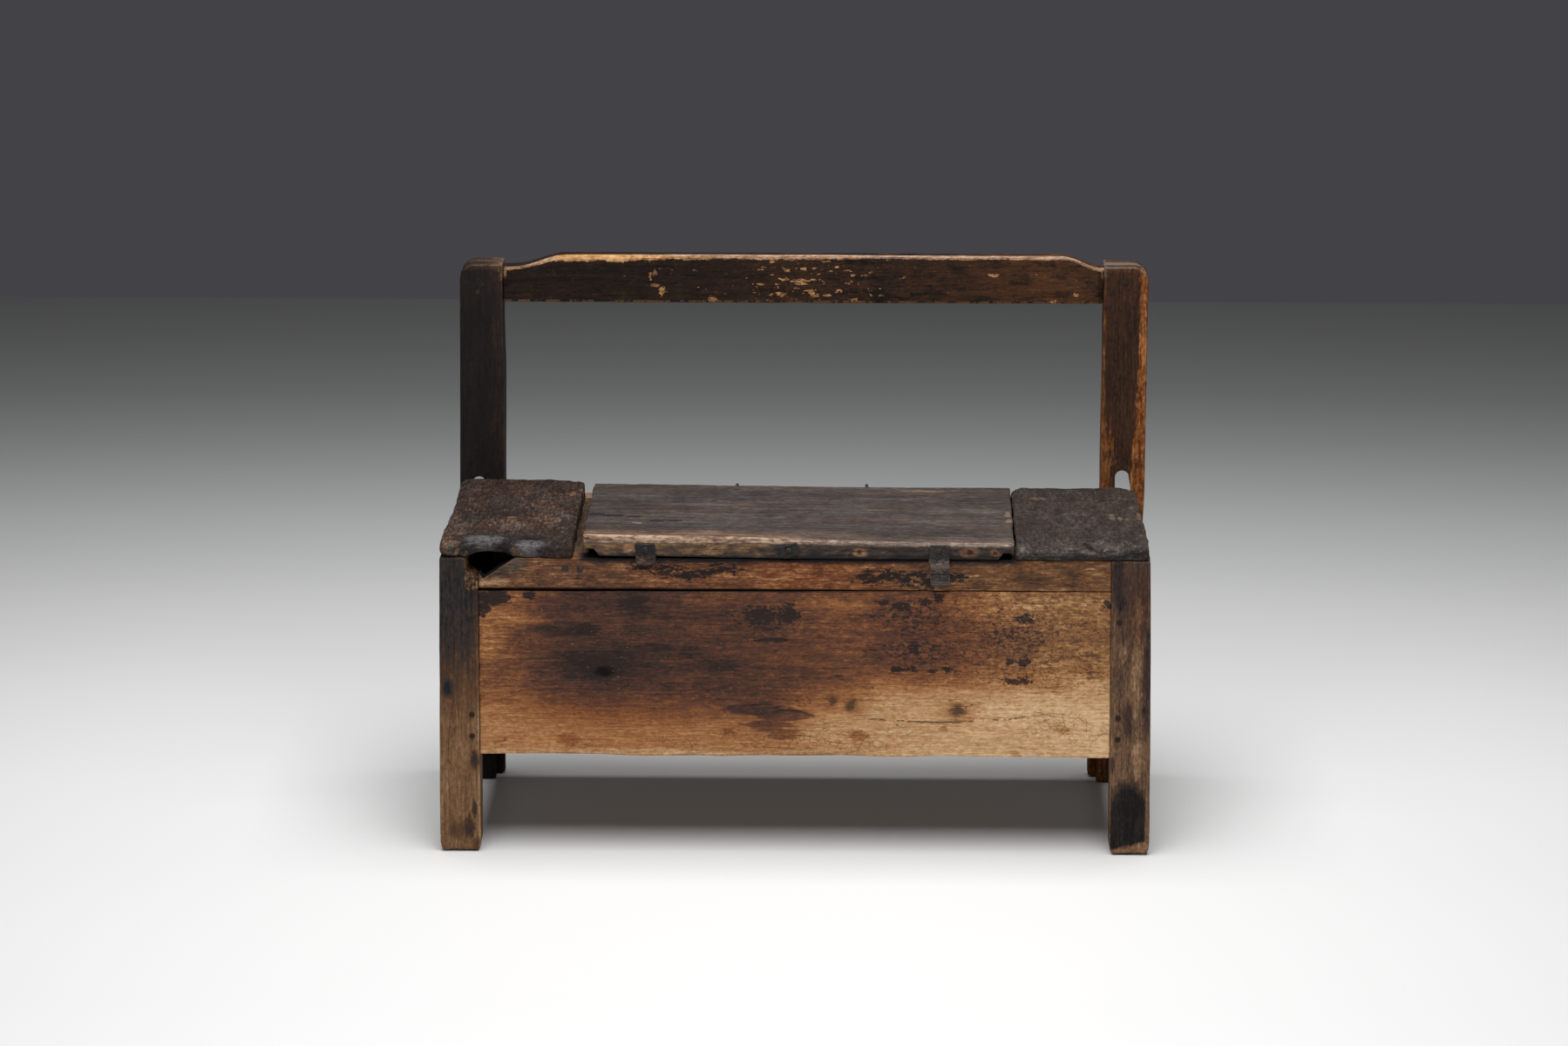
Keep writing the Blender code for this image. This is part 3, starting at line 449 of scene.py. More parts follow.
    def cracks(self, along, across, width, shift=0.0):
        """Thin broken lines that follow the grain."""
        contour = self.noise(grain_size(self.grain, along, across), 2, 0.5, 0.6, shift)
        gaps = grain_size(self.grain, along * 0.6, across * 2)
        broken = self.smooth(self.noise(gaps, 2, 0.5, 0, shift + 5), 0.52, 0.62)
        return self.scale(self.line(self.math("SUBTRACT", contour, 0.5), width), broken)

    def specks(self, size, low, high, shift=0.0):
        return self.smooth(self.noise(size, 4, 0.62, 0.3, shift), low, high)

    def cell_edges(self, size, width, shift, moved):
        """Lines between uneven cells."""
        cells = self.make("ShaderNodeTexVoronoi", feature="DISTANCE_TO_EDGE")
        self.put(cells.inputs["Vector"], self.sized(size, shift, moved))
        cells.inputs["Scale"].default_value = 1.0
        return self.smooth(cells.outputs["Distance"], width, 0.0)

    def crackle(self, size, width, keep, shift=0.0):
        """A net of fine broken cracks."""
        net = self.cell_edges(size, width, shift, self.wobble(10, 8, shift))
        return self.scale(net, self.specks(20, keep, keep + 0.08, shift + 3.0))

    def worn(self, width, shift=0.0):
        """One at the piece's edges, fading unevenly over a width."""
        uneven = self.smooth(self.noise(16, 5, 0.7, shift=shift), 0.28, 0.72)
        return self.smooth(self.edge, self.scale(uneven, 2.0 * width), 0.0)

    def surface(self, cracks, extra=None):
        """Height of the grain, with cracks cut into it."""
        height = self.total(
            0.0, (self.fibre, 0.55), (self.band, 0.5), (self.mottle, 0.6), (self.grit, 0.45),
            (cracks, -0.9),
        )
        return height if extra is None else self.add(height, extra)

    def between(self, value, from_low, from_high, low=0.0, high=1.0):
        """A value moved from one range to another."""
        node = self.make("ShaderNodeMapRange")
        self.put(node.inputs["Value"], value)
        node.inputs["From Min"].default_value = from_low
        node.inputs["From Max"].default_value = from_high
        node.inputs["To Min"].default_value = low
        node.inputs["To Max"].default_value = high
        return node.outputs["Result"]

    def gloss(self, low, high):
        return self.between(self.mottle, 0.3, 0.7, low, high)

    def finish(self, rough, height, depth, sheen=0.08):
        self.put(self.shader.inputs["Base Color"], self.colour)
        self.put(self.shader.inputs["Roughness"], rough)
        self.put(self.shader.inputs["Specular IOR Level"], sheen)
        bump = self.make("ShaderNodeBump")
        bump.inputs["Distance"].default_value = depth / MM
        self.put(bump.inputs["Height"], height)
        self.put(self.shader.inputs["Normal"], bump.outputs["Normal"])
        return self.material


def panel_finish():
    """Tan plank under a red-brown stain that thins downwards, with dark blots and knots."""
    f = Finish("panel_wood", "x", 3.0)
    far = f.wobble((90, 50, 30), (50, 0, 12))
    far = f.wobble((70, 70, 3), (80, 0, 10), 3.0, far)
    near = f.wobble((14, 14, 7), (20, 0, 12), 4.0)
    near = f.wobble((4, 4, 3), (7, 0, 5), 6.0, near)
    far_x, _, far_z = f.parts(far)
    along = f.add(f.metres(far_x), 0.5)
    stained = f.curve(
        along, (0.07, 0.52), (0.12, 0.42), (0.17, 0.22), (0.25, 0.16), (0.34, 0.23), (0.46, 0.28),
        (0.56, 0.4), (0.68, 0.36), (0.8, 0.53), (0.92, 0.61),
    )
    bare = f.curve(
        along, (0.07, 0.77), (0.2, 0.72), (0.46, 0.7), (0.55, 0.8), (0.75, 0.87), (0.92, 0.91),
    )
    border = f.curve(
        along, (0.1, 0.222), (0.3, 0.214), (0.46, 0.206), (0.54, 0.233), (0.62, 0.256), (0.9, 0.26),
    )
    spread = f.curve(along, (0.4, 0.04), (0.62, 0.036), (0.8, 0.046))
    below = f.smooth(
        f.math("DIVIDE", f.math("SUBTRACT", f.metres(far_z), border), spread), 1.0, -1.0,
    )
    level = f.total(stained, (f.math("SUBTRACT", bare, stained), below))
    char = f.ovals(
        "xz", far, 0.9, (-288, 276, 82, 25), (-154, 297, 14, 12), (-105, 279, 48, 11),
        (-198, 304, 12, 9), (-226, 368, 18, 22), (-294, 330, 14, 8), (-340, 326, 40, 10),
    )
    streaks = f.ovals(
        "xz", far, 0.7, (-60, 214, 40, 8), (-20, 206, 34, 10), (-36, 188, 34, 9), (-12, 178, 26, 7),
    )
    warm = f.ovals(
        "xz", far, 0.9, (45, 370, 50, 18), (-110, 374, 35, 12), (-408, 349, 36, 10),
        (-385, 374, 18, 10), (-258, 336, 18, 13), (280, 370, 100, 20), (-430, 315, 20, 20),
    )
    smudges = f.ovals(
        "xz", near, 0.9, (-320, 168, 20, 11), (-94, 181, 12, 7), (91, 175, 18, 12),
        (375.5, 184, 15, 6), (210, 186, 8, 6), (310, 151, 12, 4),
    )
    blots = f.ovals(
        "xz", near, 0.9, (-50, 352, 26, 15), (-9, 354, 18, 17), (-35, 315.5, 30, 4),
        (-440, 352, 8, 6), (150.5, 367, 14, 9), (122, 372, 10, 6), (183, 371, 11, 6),
        (202, 378, 10, 9), (168, 306, 8, 11), (145, 274, 12, 5), (164, 274, 9, 5),
        (216, 273.5, 9, 6), (193, 271.5, 10, 4), (303, 285, 9, 6), (322, 284, 14, 7),
        (312, 255.5, 24, 5), (322, 259, 13, 6), (322, 348.5, 15, 8), (440, 370, 8, 8),
        (-293, 329, 16, 10),
    )
    blots = f.fret(f.scale(blots, 0.74), (6, 6, 4), 1.7, 5.0, 0.06)
    corner = f.ovals("xz", near, 0.6, (-422, 376, 26, 13), (-436, 361, 10, 8), (-372, 380, 10, 6))
    blots = f.most(blots, f.fret(f.scale(corner, 0.85), (8, 8, 5), 1.2, 3.0, 0.14))
    rings = f.ovals(
        "xz", near, 0.9, (229.4, 212.5, 26, 14), (79.8, 219, 16, 12), (54, 224.5, 13, 11),
        (-268.7, 267.7, 20, 12),
    )
    knots = f.ovals(
        "xz", near, 0.6, (54, 224.5, 6, 6), (79.8, 219, 8, 7.2), (229.4, 212.5, 10, 9.2),
    )
    pit = f.ovals("xz", near, 0.5, (-268.7, 267.7, 13.5, 6.5))
    scaly = f.scale(f.smooth(far_x, 80, 200), f.smooth(f.z, 235, 275))
    scales = f.scale(f.smooth(f.noise((7.5, 7.5, 4), 5, 0.74, 0.5, 9.0), 0.5, 0.62), scaly)
    crowd = f.ovals(
        "xz", far, 0.9, (160, 350, 90, 35), (180, 300, 100, 30), (310, 320, 90, 40),
        (-50, 345, 80, 30),
    )
    dots = f.fret(f.scale(crowd, 0.45), (5.5, 5.5, 3.8), 1.5, 8.0, 0.05)
    lines = f.smooth(f.noise(grain_size("x", 70, 1.8), 3, 0.6, 0, 6.0), 0.56, 0.68)
    coarse = f.total(
        0.0, (f.tone, 0.4), (f.uneven((50, 50, 16), 1.0), 0.46), (f.uneven((14, 14, 6), 2.0), 0.55),
    )
    level = f.total(level, (f.scale(coarse, f.total(1.0, (below, -0.66))), 1.0), (f.fine, 0.36))
    clouded = f.fret(f.scale(char, 0.75), (50, 50, 4), 1.0, 3.0, 0.3)
    level = f.total(
        level, (char, -0.06), (clouded, -0.14), (f.fret(streaks, (30, 30, 4), 1.4), -0.26),
        (warm, 0.17), (blots, -0.58), (rings, -0.14),
    )
    level = f.total(level, (f.fret(f.scale(smudges, 0.7), (7, 7, 4), 1.2, 7.0), -0.16))
    level = f.total(
        level, (scales, -0.26), (dots, -0.38), (f.scale(lines, f.smooth(far_x, 200, -200)), -0.1),
    )
    f.colour = f.ramp(
        level, (0.0, (2.6, 1.7, 1.48)), (0.15, (4.8, 2.55, 1.95)), (0.275, (7.6, 3.35, 2.2)),
        (0.41, (12, 4.85, 2.55)), (0.56, (19.5, 7.7, 3.05)), (0.715, (31.5, 14.2, 5.5)),
        (0.83, (43, 25, 11.8)), (0.9, (53, 33.5, 17.4)), (1.0, (66, 45, 27)),
    )
    golden = f.scale(f.smooth(far_x, 220, 360), f.smooth(f.z, 240, 300))
    f.lay(golden, 1.0, (100, 115, 120), "MULTIPLY")
    f.lay(
        f.scale(f.smooth(far_x, -100, -250), f.smooth(f.z, 250, 200)), 1.0, (97, 90, 85),
        "MULTIPLY",
    )
    f.lay(knots, 0.85, (5, 3, 2))
    f.lay(pit, 1.0, (0.5, 0.34, 0.28))
    bowed = f.total(
        -196, (f.z, 1.0), (f.math("POWER", f.math("SUBTRACT", f.x, 205), 2.0), -0.00055),
        (f.uneven(14, 22.0), 7),
    )
    broken = f.smooth(f.noise(13, 2, 0.5, 0, 23.0), 0.46, 0.52)
    split = f.scale(f.line(bowed, 1.6), f.within(f.x, 105, 325, 12), broken)
    split = f.most(split, f.scale(f.line(bowed, 2.6), f.within(f.x, 165, 240, 20)))
    scarred = f.total(
        -214.7, (f.z, 1.0), (f.math("POWER", f.add(f.x, 7.4), 2.0), 0.0062), (f.mottle, 6),
    )
    scar = f.scale(f.line(scarred, 3.6), f.within(f.x, -30, 29, 4))
    slant = f.scale(
        f.line(f.total(-401.9, (f.z, 1.0), (f.x, -0.75)), 2.8), f.within(f.x, -181.2, -172.2, 1.2),
    )
    scar = f.most(scar, slant, f.ovals("xz", f.place, 0.5, (61.7, 263, 6.8, 2)))
    cracks = f.most(f.cracks(90, 14, 0.006), split, scar)
    f.lay(cracks, 0.8, (3, 1.7, 1.2))
    patches = f.ovals(
        "xz", far, 0.9, (380, 190, 60, 22), (60, 163, 90, 18), (350, 270, 70, 30),
        (-100, 160, 60, 16),
    )
    net = f.scale(f.crackle((10, 10, 8), 0.11, 0.44, 3.0), f.total(0.16, (patches, 0.84)))
    f.lay(net, 0.75, (34, 26, 22), "MULTIPLY")
    nicks = f.specks((9, 9, 2.6), 0.63, 0.68, 11.0)
    f.lay(nicks, 0.72, (30, 24, 22), "MULTIPLY")
    # Painted glints: small light tan specks.
    painted_glint = f.specks((7, 7, 2.2), 0.64, 0.7, 7.0)
    f.lay(painted_glint, 0.3, (55, 38, 22))
    f.lay(f.scale(f.smooth(f.z, 385, 386.2), f.smooth(far_x, 200, 0)), 0.85, (1, 0.7, 0.6))
    foot = f.smooth(f.total(f.z, (f.uneven((30, 30, 10), 24.0), 12)), 159, 148)
    f.lay(
        foot, f.total(0.35, (f.smooth(far_x, 100, -200), 0.4)),
        f.wood((26, 13.5, 5.8), (46, 27.5, 13.5), (62, 43, 26)),
    )
    return f.finish(f.gloss(0.55, 0.75), f.surface(f.most(cracks, pit, knots)), 1.2)


def left_leg_finish():
    """Blue-black at the top, warm brown below, smoky ovals and a rubbed inner edge."""
    f = Finish("left_leg_wood", "z", 5.0)
    far = f.wobble((12, 12, 50), (10, 0, 50))
    far = f.wobble((2.5, 2.5, 50), (2, 0, 30), 3.0, far)
    near = f.wobble(8, 6, 4.0)
    far_x, _, far_z = f.parts(far)
    # Blue-black at the top, warm below; the lowest stop is raised as painted light bounced from the
    # floor.
    level = f.curve(
        f.metres(far_z), (0.0, 0.82), (0.06, 0.8), (0.12, 0.81), (0.19, 0.78), (0.235, 0.64),
        (0.275, 0.46), (0.31, 0.24), (0.35, 0.17), (0.43, 0.19),
    )
    inner = f.scale(f.smooth(far_x, -464, -452), f.within(far_z, 285, 365, 15))
    strip = f.scale(f.smooth(f.x, -451.5, -447), f.smooth(f.y, -178, -185))
    strip = f.fret(f.scale(strip, 0.55), (4, 4, 20), 0.8)
    stains = f.ovals("xz", near, 0.7, (-489, 243, 6, 11), (-452, 136.5, 5, 11))
    smoke = f.ovals("xz", near, 0.95, (-480, 34, 10, 12), (-451, 14, 5, 8))
    soot = f.ovals("xz", near, 0.8, (-461.5, 38, 8.5, 19), (-453.5, 64, 4.5, 16))
    soot = f.fret(f.scale(soot, 0.7), (8, 8, 14), 0.9, 9.0, 0.25)
    level = f.total(
        level, (f.tone, 0.3), (f.fine, f.total(0.34, (f.smooth(f.z, 240, 320), 0.56))),
        (f.uneven((20, 20, 60), 1.0), 0.16), (f.uneven((6, 6, 10), 2.0), 0.2),
    )
    level = f.total(
        level, (inner, 0.16), (f.scale(strip, f.smooth(f.z, 395, 375)), 0.16), (stains, -0.55),
        (smoke, -0.24), (soot, -0.46), (f.worn(4), 0.08),
    )
    crumbly = f.scale(f.smooth(f.x, -469, -457), f.smooth(f.z, 375, 398))
    crumbly = f.fret(crumbly, 6, 0.8, 3.0)
    level = f.total(level, (crumbly, 0.4), (f.scale(crumbly, f.uneven(7, 7.0)), 2.8))
    f.colour = f.ramp(
        level, (0.0, (1.1, 1.08, 1.12)), (0.18, (2.15, 2, 2)), (0.385, (4.2, 2.55, 1.95)),
        (0.55, (7.1, 3.6, 2.05)), (0.7, (11.4, 5.8, 2.9)), (0.79, (15.4, 8.1, 3.9)),
        (0.9, (21.5, 12.2, 6.2)), (1.0, (30, 18.5, 10)),
    )
    channel = f.total(f.x, (f.uneven((10, 10, 12), 4.0), 6))
    gash = f.scale(f.line(f.add(channel, 453.5), 1.4), f.within(f.z, 352, 398, 4))
    cracks = f.most(f.cracks(100, 10, 0.006), gash)
    # Cracks, and a near-black line along the bottom of the foot: painted shade where it meets the
    # floor.
    f.lay(f.most(cracks, f.smooth(f.z, 3.4, 1.2)), 0.75, (1.2, 1, 0.9))
    grit = f.scale(crumbly, f.specks(4, 0.35, 0.65), 1.6)
    return f.finish(f.gloss(0.5, 0.7), f.surface(cracks, grit), 1.1)


def right_leg_finish():
    """Grey-brown with reddish and tan streaks, a charred patch above the foot."""
    f = Finish("right_leg_wood", "z", 8.0)
    far = f.wobble((10, 10, 40), (8, 0, 30))
    far = f.wobble((2.5, 2.5, 40), (2, 0, 24), 3.0, far)
    near = f.wobble(8, 6, 4.0)
    _, _, far_z = f.parts(far)
    near_x, _, near_z = f.parts(near)
    # Lighter towards the floor; the lowest stop is partly painted light bounced from the floor.
    level = f.curve(
        f.metres(far_z), (0.0, 0.79), (0.11, 0.7), (0.16, 0.73), (0.24, 0.67), (0.31, 0.6),
        (0.36, 0.52), (0.43, 0.47),
    )
    tan = f.ovals(
        "xz", far, 0.8, (480, 270, 8.5, 75), (484.5, 147, 10, 36), (482, 360, 8, 30),
        (461, 300, 6, 20),
    )
    dark = f.ovals(
        "xz", far, 0.8, (495.5, 255, 7, 85), (452, 410, 10, 40), (456, 372, 9, 10),
        (449, 140, 4, 12), (470, 200, 6, 30),
    )
    level = f.total(
        level, (f.tone, 0.34), (f.fine, 0.54), (f.uneven((16, 16, 50), 1.0), 0.26),
        (f.uneven((6, 6, 10), 2.0), 0.26),
    )
    level = f.total(
        level, (f.fret(f.scale(tan, 0.8), (6, 6, 20), 0.9, 0.0, 0.14), 0.17),
        (f.fret(f.scale(dark, 0.8), (6, 6, 20), 0.9, 5.0, 0.14), -0.22),
    )
    slope = f.total(near_z, (near_x, -0.27))
    dome = f.total(
        near_z, (f.math("POWER", f.add(near_x, -471.5), 2.0), 0.042), (f.uneven(10, 16.0), 36),
    )
    char = f.scale(
        f.smooth(slope, -116, -110), f.smooth(dome, 124, 98), f.within(near_x, 447, 496.5, 1.6),
    )
    foot = f.smooth(slope, -106, -113)
    level = f.total(level, (f.worn(3), 0.08), (foot, 0.04))
    f.colour = f.ramp(
        level, (0.0, (1, 0.95, 0.98)), (0.23, (2.2, 1.7, 1.6)), (0.44, (4.5, 2.6, 2)),
        (0.59, (7.6, 4.25, 2.7)), (0.72, (11.7, 6.6, 3.8)), (0.815, (16, 9, 4.9)),
        (0.91, (22, 13, 7)), (1.0, (31, 19.5, 11.2)),
    )
    red = f.fret(f.ovals("xz", far, 0.9, (484, 360, 14, 60)), (6, 6, 30), 0.7, 9.0)
    f.lay(red, 0.5, (100, 76, 66), "MULTIPLY")
    f.lay(foot, 0.6, f.wood((12.5, 6, 3.6), (24, 12.2, 6.8), (36, 20, 11.2)))
    f.lay(char, 0.97, f.wood((0.45, 0.43, 0.46), (0.85, 0.81, 0.84), (1.8, 1.65, 1.62)))
    # Dark specks on the foot, and a near-black line along its bottom: painted shade where it meets
    # the floor.
    specks_and_foot_shade = f.most(f.scale(f.specks(6, 0.6, 0.66, 6.0), foot), f.smooth(f.z, 3.4, 1.2))
    f.lay(specks_and_foot_shade, 0.8, (3, 2, 1.6))
    cracks = f.cracks(100, 10, 0.006)
    f.lay(cracks, 0.6, (1.4, 1, 0.9))
    return f.finish(f.gloss(0.5, 0.7), f.surface(cracks), 1.1)


def rail_finish():
    """Orange-brown rail with black stains, painted shade under the lid, dark wood and painted shade
    at the hole.
    """
    f = Finish("rail_wood", "x", 11.0)
    far = f.wobble((40, 30, 12), (50, 0, 10))
    far = f.wobble((50, 50, 3), (40, 0, 4), 3.0, far)
    near = f.wobble((14, 14, 5), (28, 0, 10), 4.0)
    near = f.wobble((4, 4, 2.5), (8, 0, 4), 6.0, near)
    far_x, _, far_z = f.parts(far)
    level = f.curve(
        f.add(f.metres(far_x), 0.5), (0.05, 0.66), (0.12, 0.72), (0.2, 0.62), (0.28, 0.66),
        (0.38, 0.62), (0.5, 0.74), (0.6, 0.66), (0.72, 0.64), (0.82, 0.66), (0.95, 0.7),
    )
    black = f.ovals(
        "xz", near, 0.9, (-205, 423.5, 30, 8), (-178, 416.5, 28, 9), (-150, 410.5, 24, 8),
        (-125, 413.5, 13, 7), (-97, 420.5, 24, 8), (105, 408, 20, 10), (133, 411, 24, 10),
        (158, 405, 22, 12), (180, 398, 18, 12), (176, 412, 12, 7), (227, 409, 14, 8),
    )
    black = f.fret(f.scale(black, 0.74), (9, 9, 4), 2.4, 5.0, 0.07)
    soft = f.ovals("xz", near, 0.9, (326, 404, 18, 12), (389, 408.5, 11, 11), (258, 396, 18, 5))
    level = f.total(
        level, (f.tone, 0.38), (f.fine, 0.62), (f.uneven((40, 40, 12), 1.0), 0.62),
        (f.uneven((14, 14, 6), 2.0), 0.55), (black, -0.62), (soft, -0.18),
    )
    lip = f.ovals("xz", near, 0.8, (-425, 398, 22, 7))
    nails = [MM * sum(box_of(f"rail_nail_{place}")) / 2 for place in ("outer", "inner")]
    rusted = f.ovals("xz", f.place, 0.3, *((nail[0], nail[2] - 0.8, 5.6, 5.8) for nail in nails))
    # Painted shade: the rail darkens towards its top, under the lid.
    under = f.scale(f.smooth(far_z, 425, 432), f.within(f.x, -300, 310, 10))
    seam = f.scale(f.smooth(far_z, 395, 388.5), f.smooth(far_x, 250, -250))
    level = f.total(level, (lip, 0.24), (under, -0.55), (seam, -0.22), (f.worn(2), 0.05))
    f.colour = f.ramp(
        level, (0.0, (1.5, 1.15, 1.08)), (0.265, (3.5, 1.8, 1.32)), (0.48, (7, 3, 1.7)),
        (0.637, (11.9, 4.65, 2.12)), (0.76, (18, 7.2, 3.05)), (0.867, (25.8, 12.4, 5.5)),
        (0.975, (35, 20.5, 10.5)),
    )
    f.lay(f.smooth(far_x, 80, 240), 1.0, (103, 120, 120), "MULTIPLY")
    f.lay(f.within(far_x, -60, 100, 60), 1.0, (97, 86, 78), "MULTIPLY")
    f.lay(f.scale(f.smooth(f.z, 391.6, 390), f.smooth(far_x, 200, 0)), 0.9, (0.8, 0.6, 0.5))
    f.lay(f.smooth(far_x, -180, -260), 1.0, (89, 100, 113), "MULTIPLY")
    # Painted shade: near black along the rail's top face, under the lid.
    painted_shade_rail_top = f.smooth(f.total(f.z, (f.uneven(20, 21.0), 3)), 430, 431.8)
    f.lay(f.scale(painted_shade_rail_top, f.within(f.x, -298, 308, 4)), 0.9, (0.6, 0.5, 0.45))
    scoop = f.ovals("xz", near, 0.25, (-419, 434, 46, 30))
    f.lay(scoop, 0.85, f.wood((2.2, 1.75, 1.5), (5, 3.8, 3), (10, 7.2, 5.3)))
    # Painted shade: near black on the rail's inner side, inside the hole.
    inside = f.scale(f.ovals("xz", f.place, 0.3, (-425, 430, 50, 40)), f.smooth(f.y, -183.5, -179))
    f.lay(inside, 1.0, (1, 0.8, 0.8))
    f.lay(rusted, 0.85, f.wood((2.2, 1.65, 1.45), (4.4, 3.2, 2.7), (7.5, 5.5, 4.6)))
    cracks = f.cracks(80, 10, 0.008)
    f.lay(cracks, 0.8, (1.8, 1.1, 0.9))
    return f.finish(f.gloss(0.5, 0.7), f.surface(cracks), 1.3)


def lid_finish():
    """Grey-brown ridged plank, rubbed tan in front; its face is tan, black on the right."""
    f = Finish("lid_wood", "x", 14.0)
    far = f.wobble((80, 30, 30), (70, 16, 4))
    near = f.wobble(12, (16, 5, 5), 4.0)
    far_x, far_y, _ = f.parts(far)
    ridge = f.noise(grain_size("x", 350, 5.5), 5, 0.6, 0.3, 9.0)
    patch = f.uneven((140, 35, 30), 11.0)
    level = f.total(
        0.478, (f.tone, 0.54), (f.fine, 0.22), (f.math("SUBTRACT", ridge, 0.5), 0.4), (patch, 0.6),
        (f.uneven((14, 6, 6), 2.0), 0.4),
    )
    front = f.smooth(far_y, -128, -172)
    strong = f.total(0.1, (f.smooth(far_x, 100, -100), 0.1))
    level = f.total(level, (f.fret(f.scale(front, 0.62), (70, 7, 7), 1.1), strong))
    fallen = f.total(f.z, (f.smooth(f.x, -100, 200), MM * LID_FALL))
    # The front arris is lighter and warmer: rubbed bare wood and a painted highlight.
    bright = f.scale(f.smooth(f.y, -177, -181.2), f.smooth(fallen, 455, 459))
    strong = f.total(0.2, (f.smooth(far_x, 140, 20), 0.1))
    level = f.total(
        level, (f.fret(f.scale(bright, 0.6), (12, 4, 4), 1.8, 5.0), strong),
        (f.smooth(far_x, -80, -200), -0.045),
    )
    grey = f.ramp(
        level, (0.0, (0.95, 0.8, 0.77)), (0.215, (1.9, 1.5, 1.4)), (0.39, (3.3, 2.65, 2.45)),
        (0.53, (5.3, 4.3, 3.95)), (0.667, (8.2, 6.7, 6.1)), (0.8, (12.8, 10.2, 9)),
        (0.935, (21, 16.5, 14)), (1.0, (28, 22, 19)),
    )
    warm = f.ramp(
        level, (0.0, (1.1, 0.75, 0.65)), (0.215, (2.3, 1.4, 1.05)), (0.39, (4.1, 2.35, 1.65)),
        (0.53, (6.6, 3.9, 2.7)), (0.667, (10, 6, 4)), (0.8, (15, 9.2, 6)),
        (0.935, (24, 15.5, 10.2)), (1.0, (34, 23.5, 16)),
    )
    reddish = f.smooth(f.noise(grain_size("x", 160, 20), 4, 0.6, 0.3, 3.0), 0.46, 0.66)
    rubbed = f.most(
        f.scale(front, f.total(0.4, (f.smooth(far_x, 120, -100), 0.6))),
        f.scale(bright, f.total(0.45, (f.smooth(far_x, 100, -50), 0.4))),
    )
    f.colour = f.mix(f.most(f.scale(reddish, 0.62), rubbed), grey, warm)
    face = f.scale(
        f.smooth(f.total(fallen, (f.mottle, 8)), 461.2, 458.5), f.smooth(f.y, -178, -183),
    )
    skin_level = f.total(
        0.62, (f.tone, 0.5), (f.uneven((18, 10, 7), 8.0), 1.5), (f.smooth(far_x, -70, 0), -0.26),
        (f.smooth(f.z, 444, 436.5), -0.3),
    )
    rust = f.ovals(
        "xz", near, 0.6, (-233, 452.5, 7, 5), (91, 445.5, 9, 5.8), (244.6, 446, 10.5, 6.8),
        (280, 445, 7, 4.5),
    )
    skin = f.ramp(
        skin_level, (0.1, (1.2, 0.95, 0.9)), (0.3, (2.8, 2.05, 1.8)), (0.45, (4.8, 3.25, 2.5)),
        (0.6, (9.7, 5.5, 3)), (0.75, (17.8, 10.4, 5.2)), (0.95, (33, 21, 11)),
    )
    skin = f.layer(skin, rust, 0.95, f.wood((10, 4.2, 1.8), (21, 10, 4.8), (34, 19, 10)))
    holes = f.ovals("xz", near, 0.5, (91, 445.5, 5, 3.4), (244.6, 446, 5.6, 4), (281, 445, 4, 2.4))
    skin = f.layer(skin, holes, 0.9, (1.4, 0.8, 0.7))
    f.colour = f.mix(face, f.colour, skin)
    cracks = f.cracks(140, 12, 0.009)
    splits = f.ovals(
        "xy", near, 0.6, (-282, -76, 12, 6.5), (-260, -80, 16, 6), (-228, -84, 13, 5),
        (-196, -108, 12, 5.5), (-172, -104, 15, 5),
    )
    splits = f.fret(f.scale(splits, 0.72), (8, 6, 6), 1.5, 15.0, 0.08)
    cracks = f.most(cracks, splits)
    f.lay(cracks, 0.88, (1.2, 0.8, 0.75))
    chips = f.ovals(
        "xy", near, 0.6, (300, -45, 6, 18), (302, -78, 6, 10), (180, 80, 35, 6),
        (-222, -120, 8, 4.5),
    )
    f.lay(f.fret(f.scale(chips, 0.7), 6, 0.8, 6.0), 0.6, (20, 12.5, 8))
    return f.finish(f.gloss(0.5, 0.68), f.surface(cracks, f.scale(ridge, 1.1)), 1.6, 0.15)


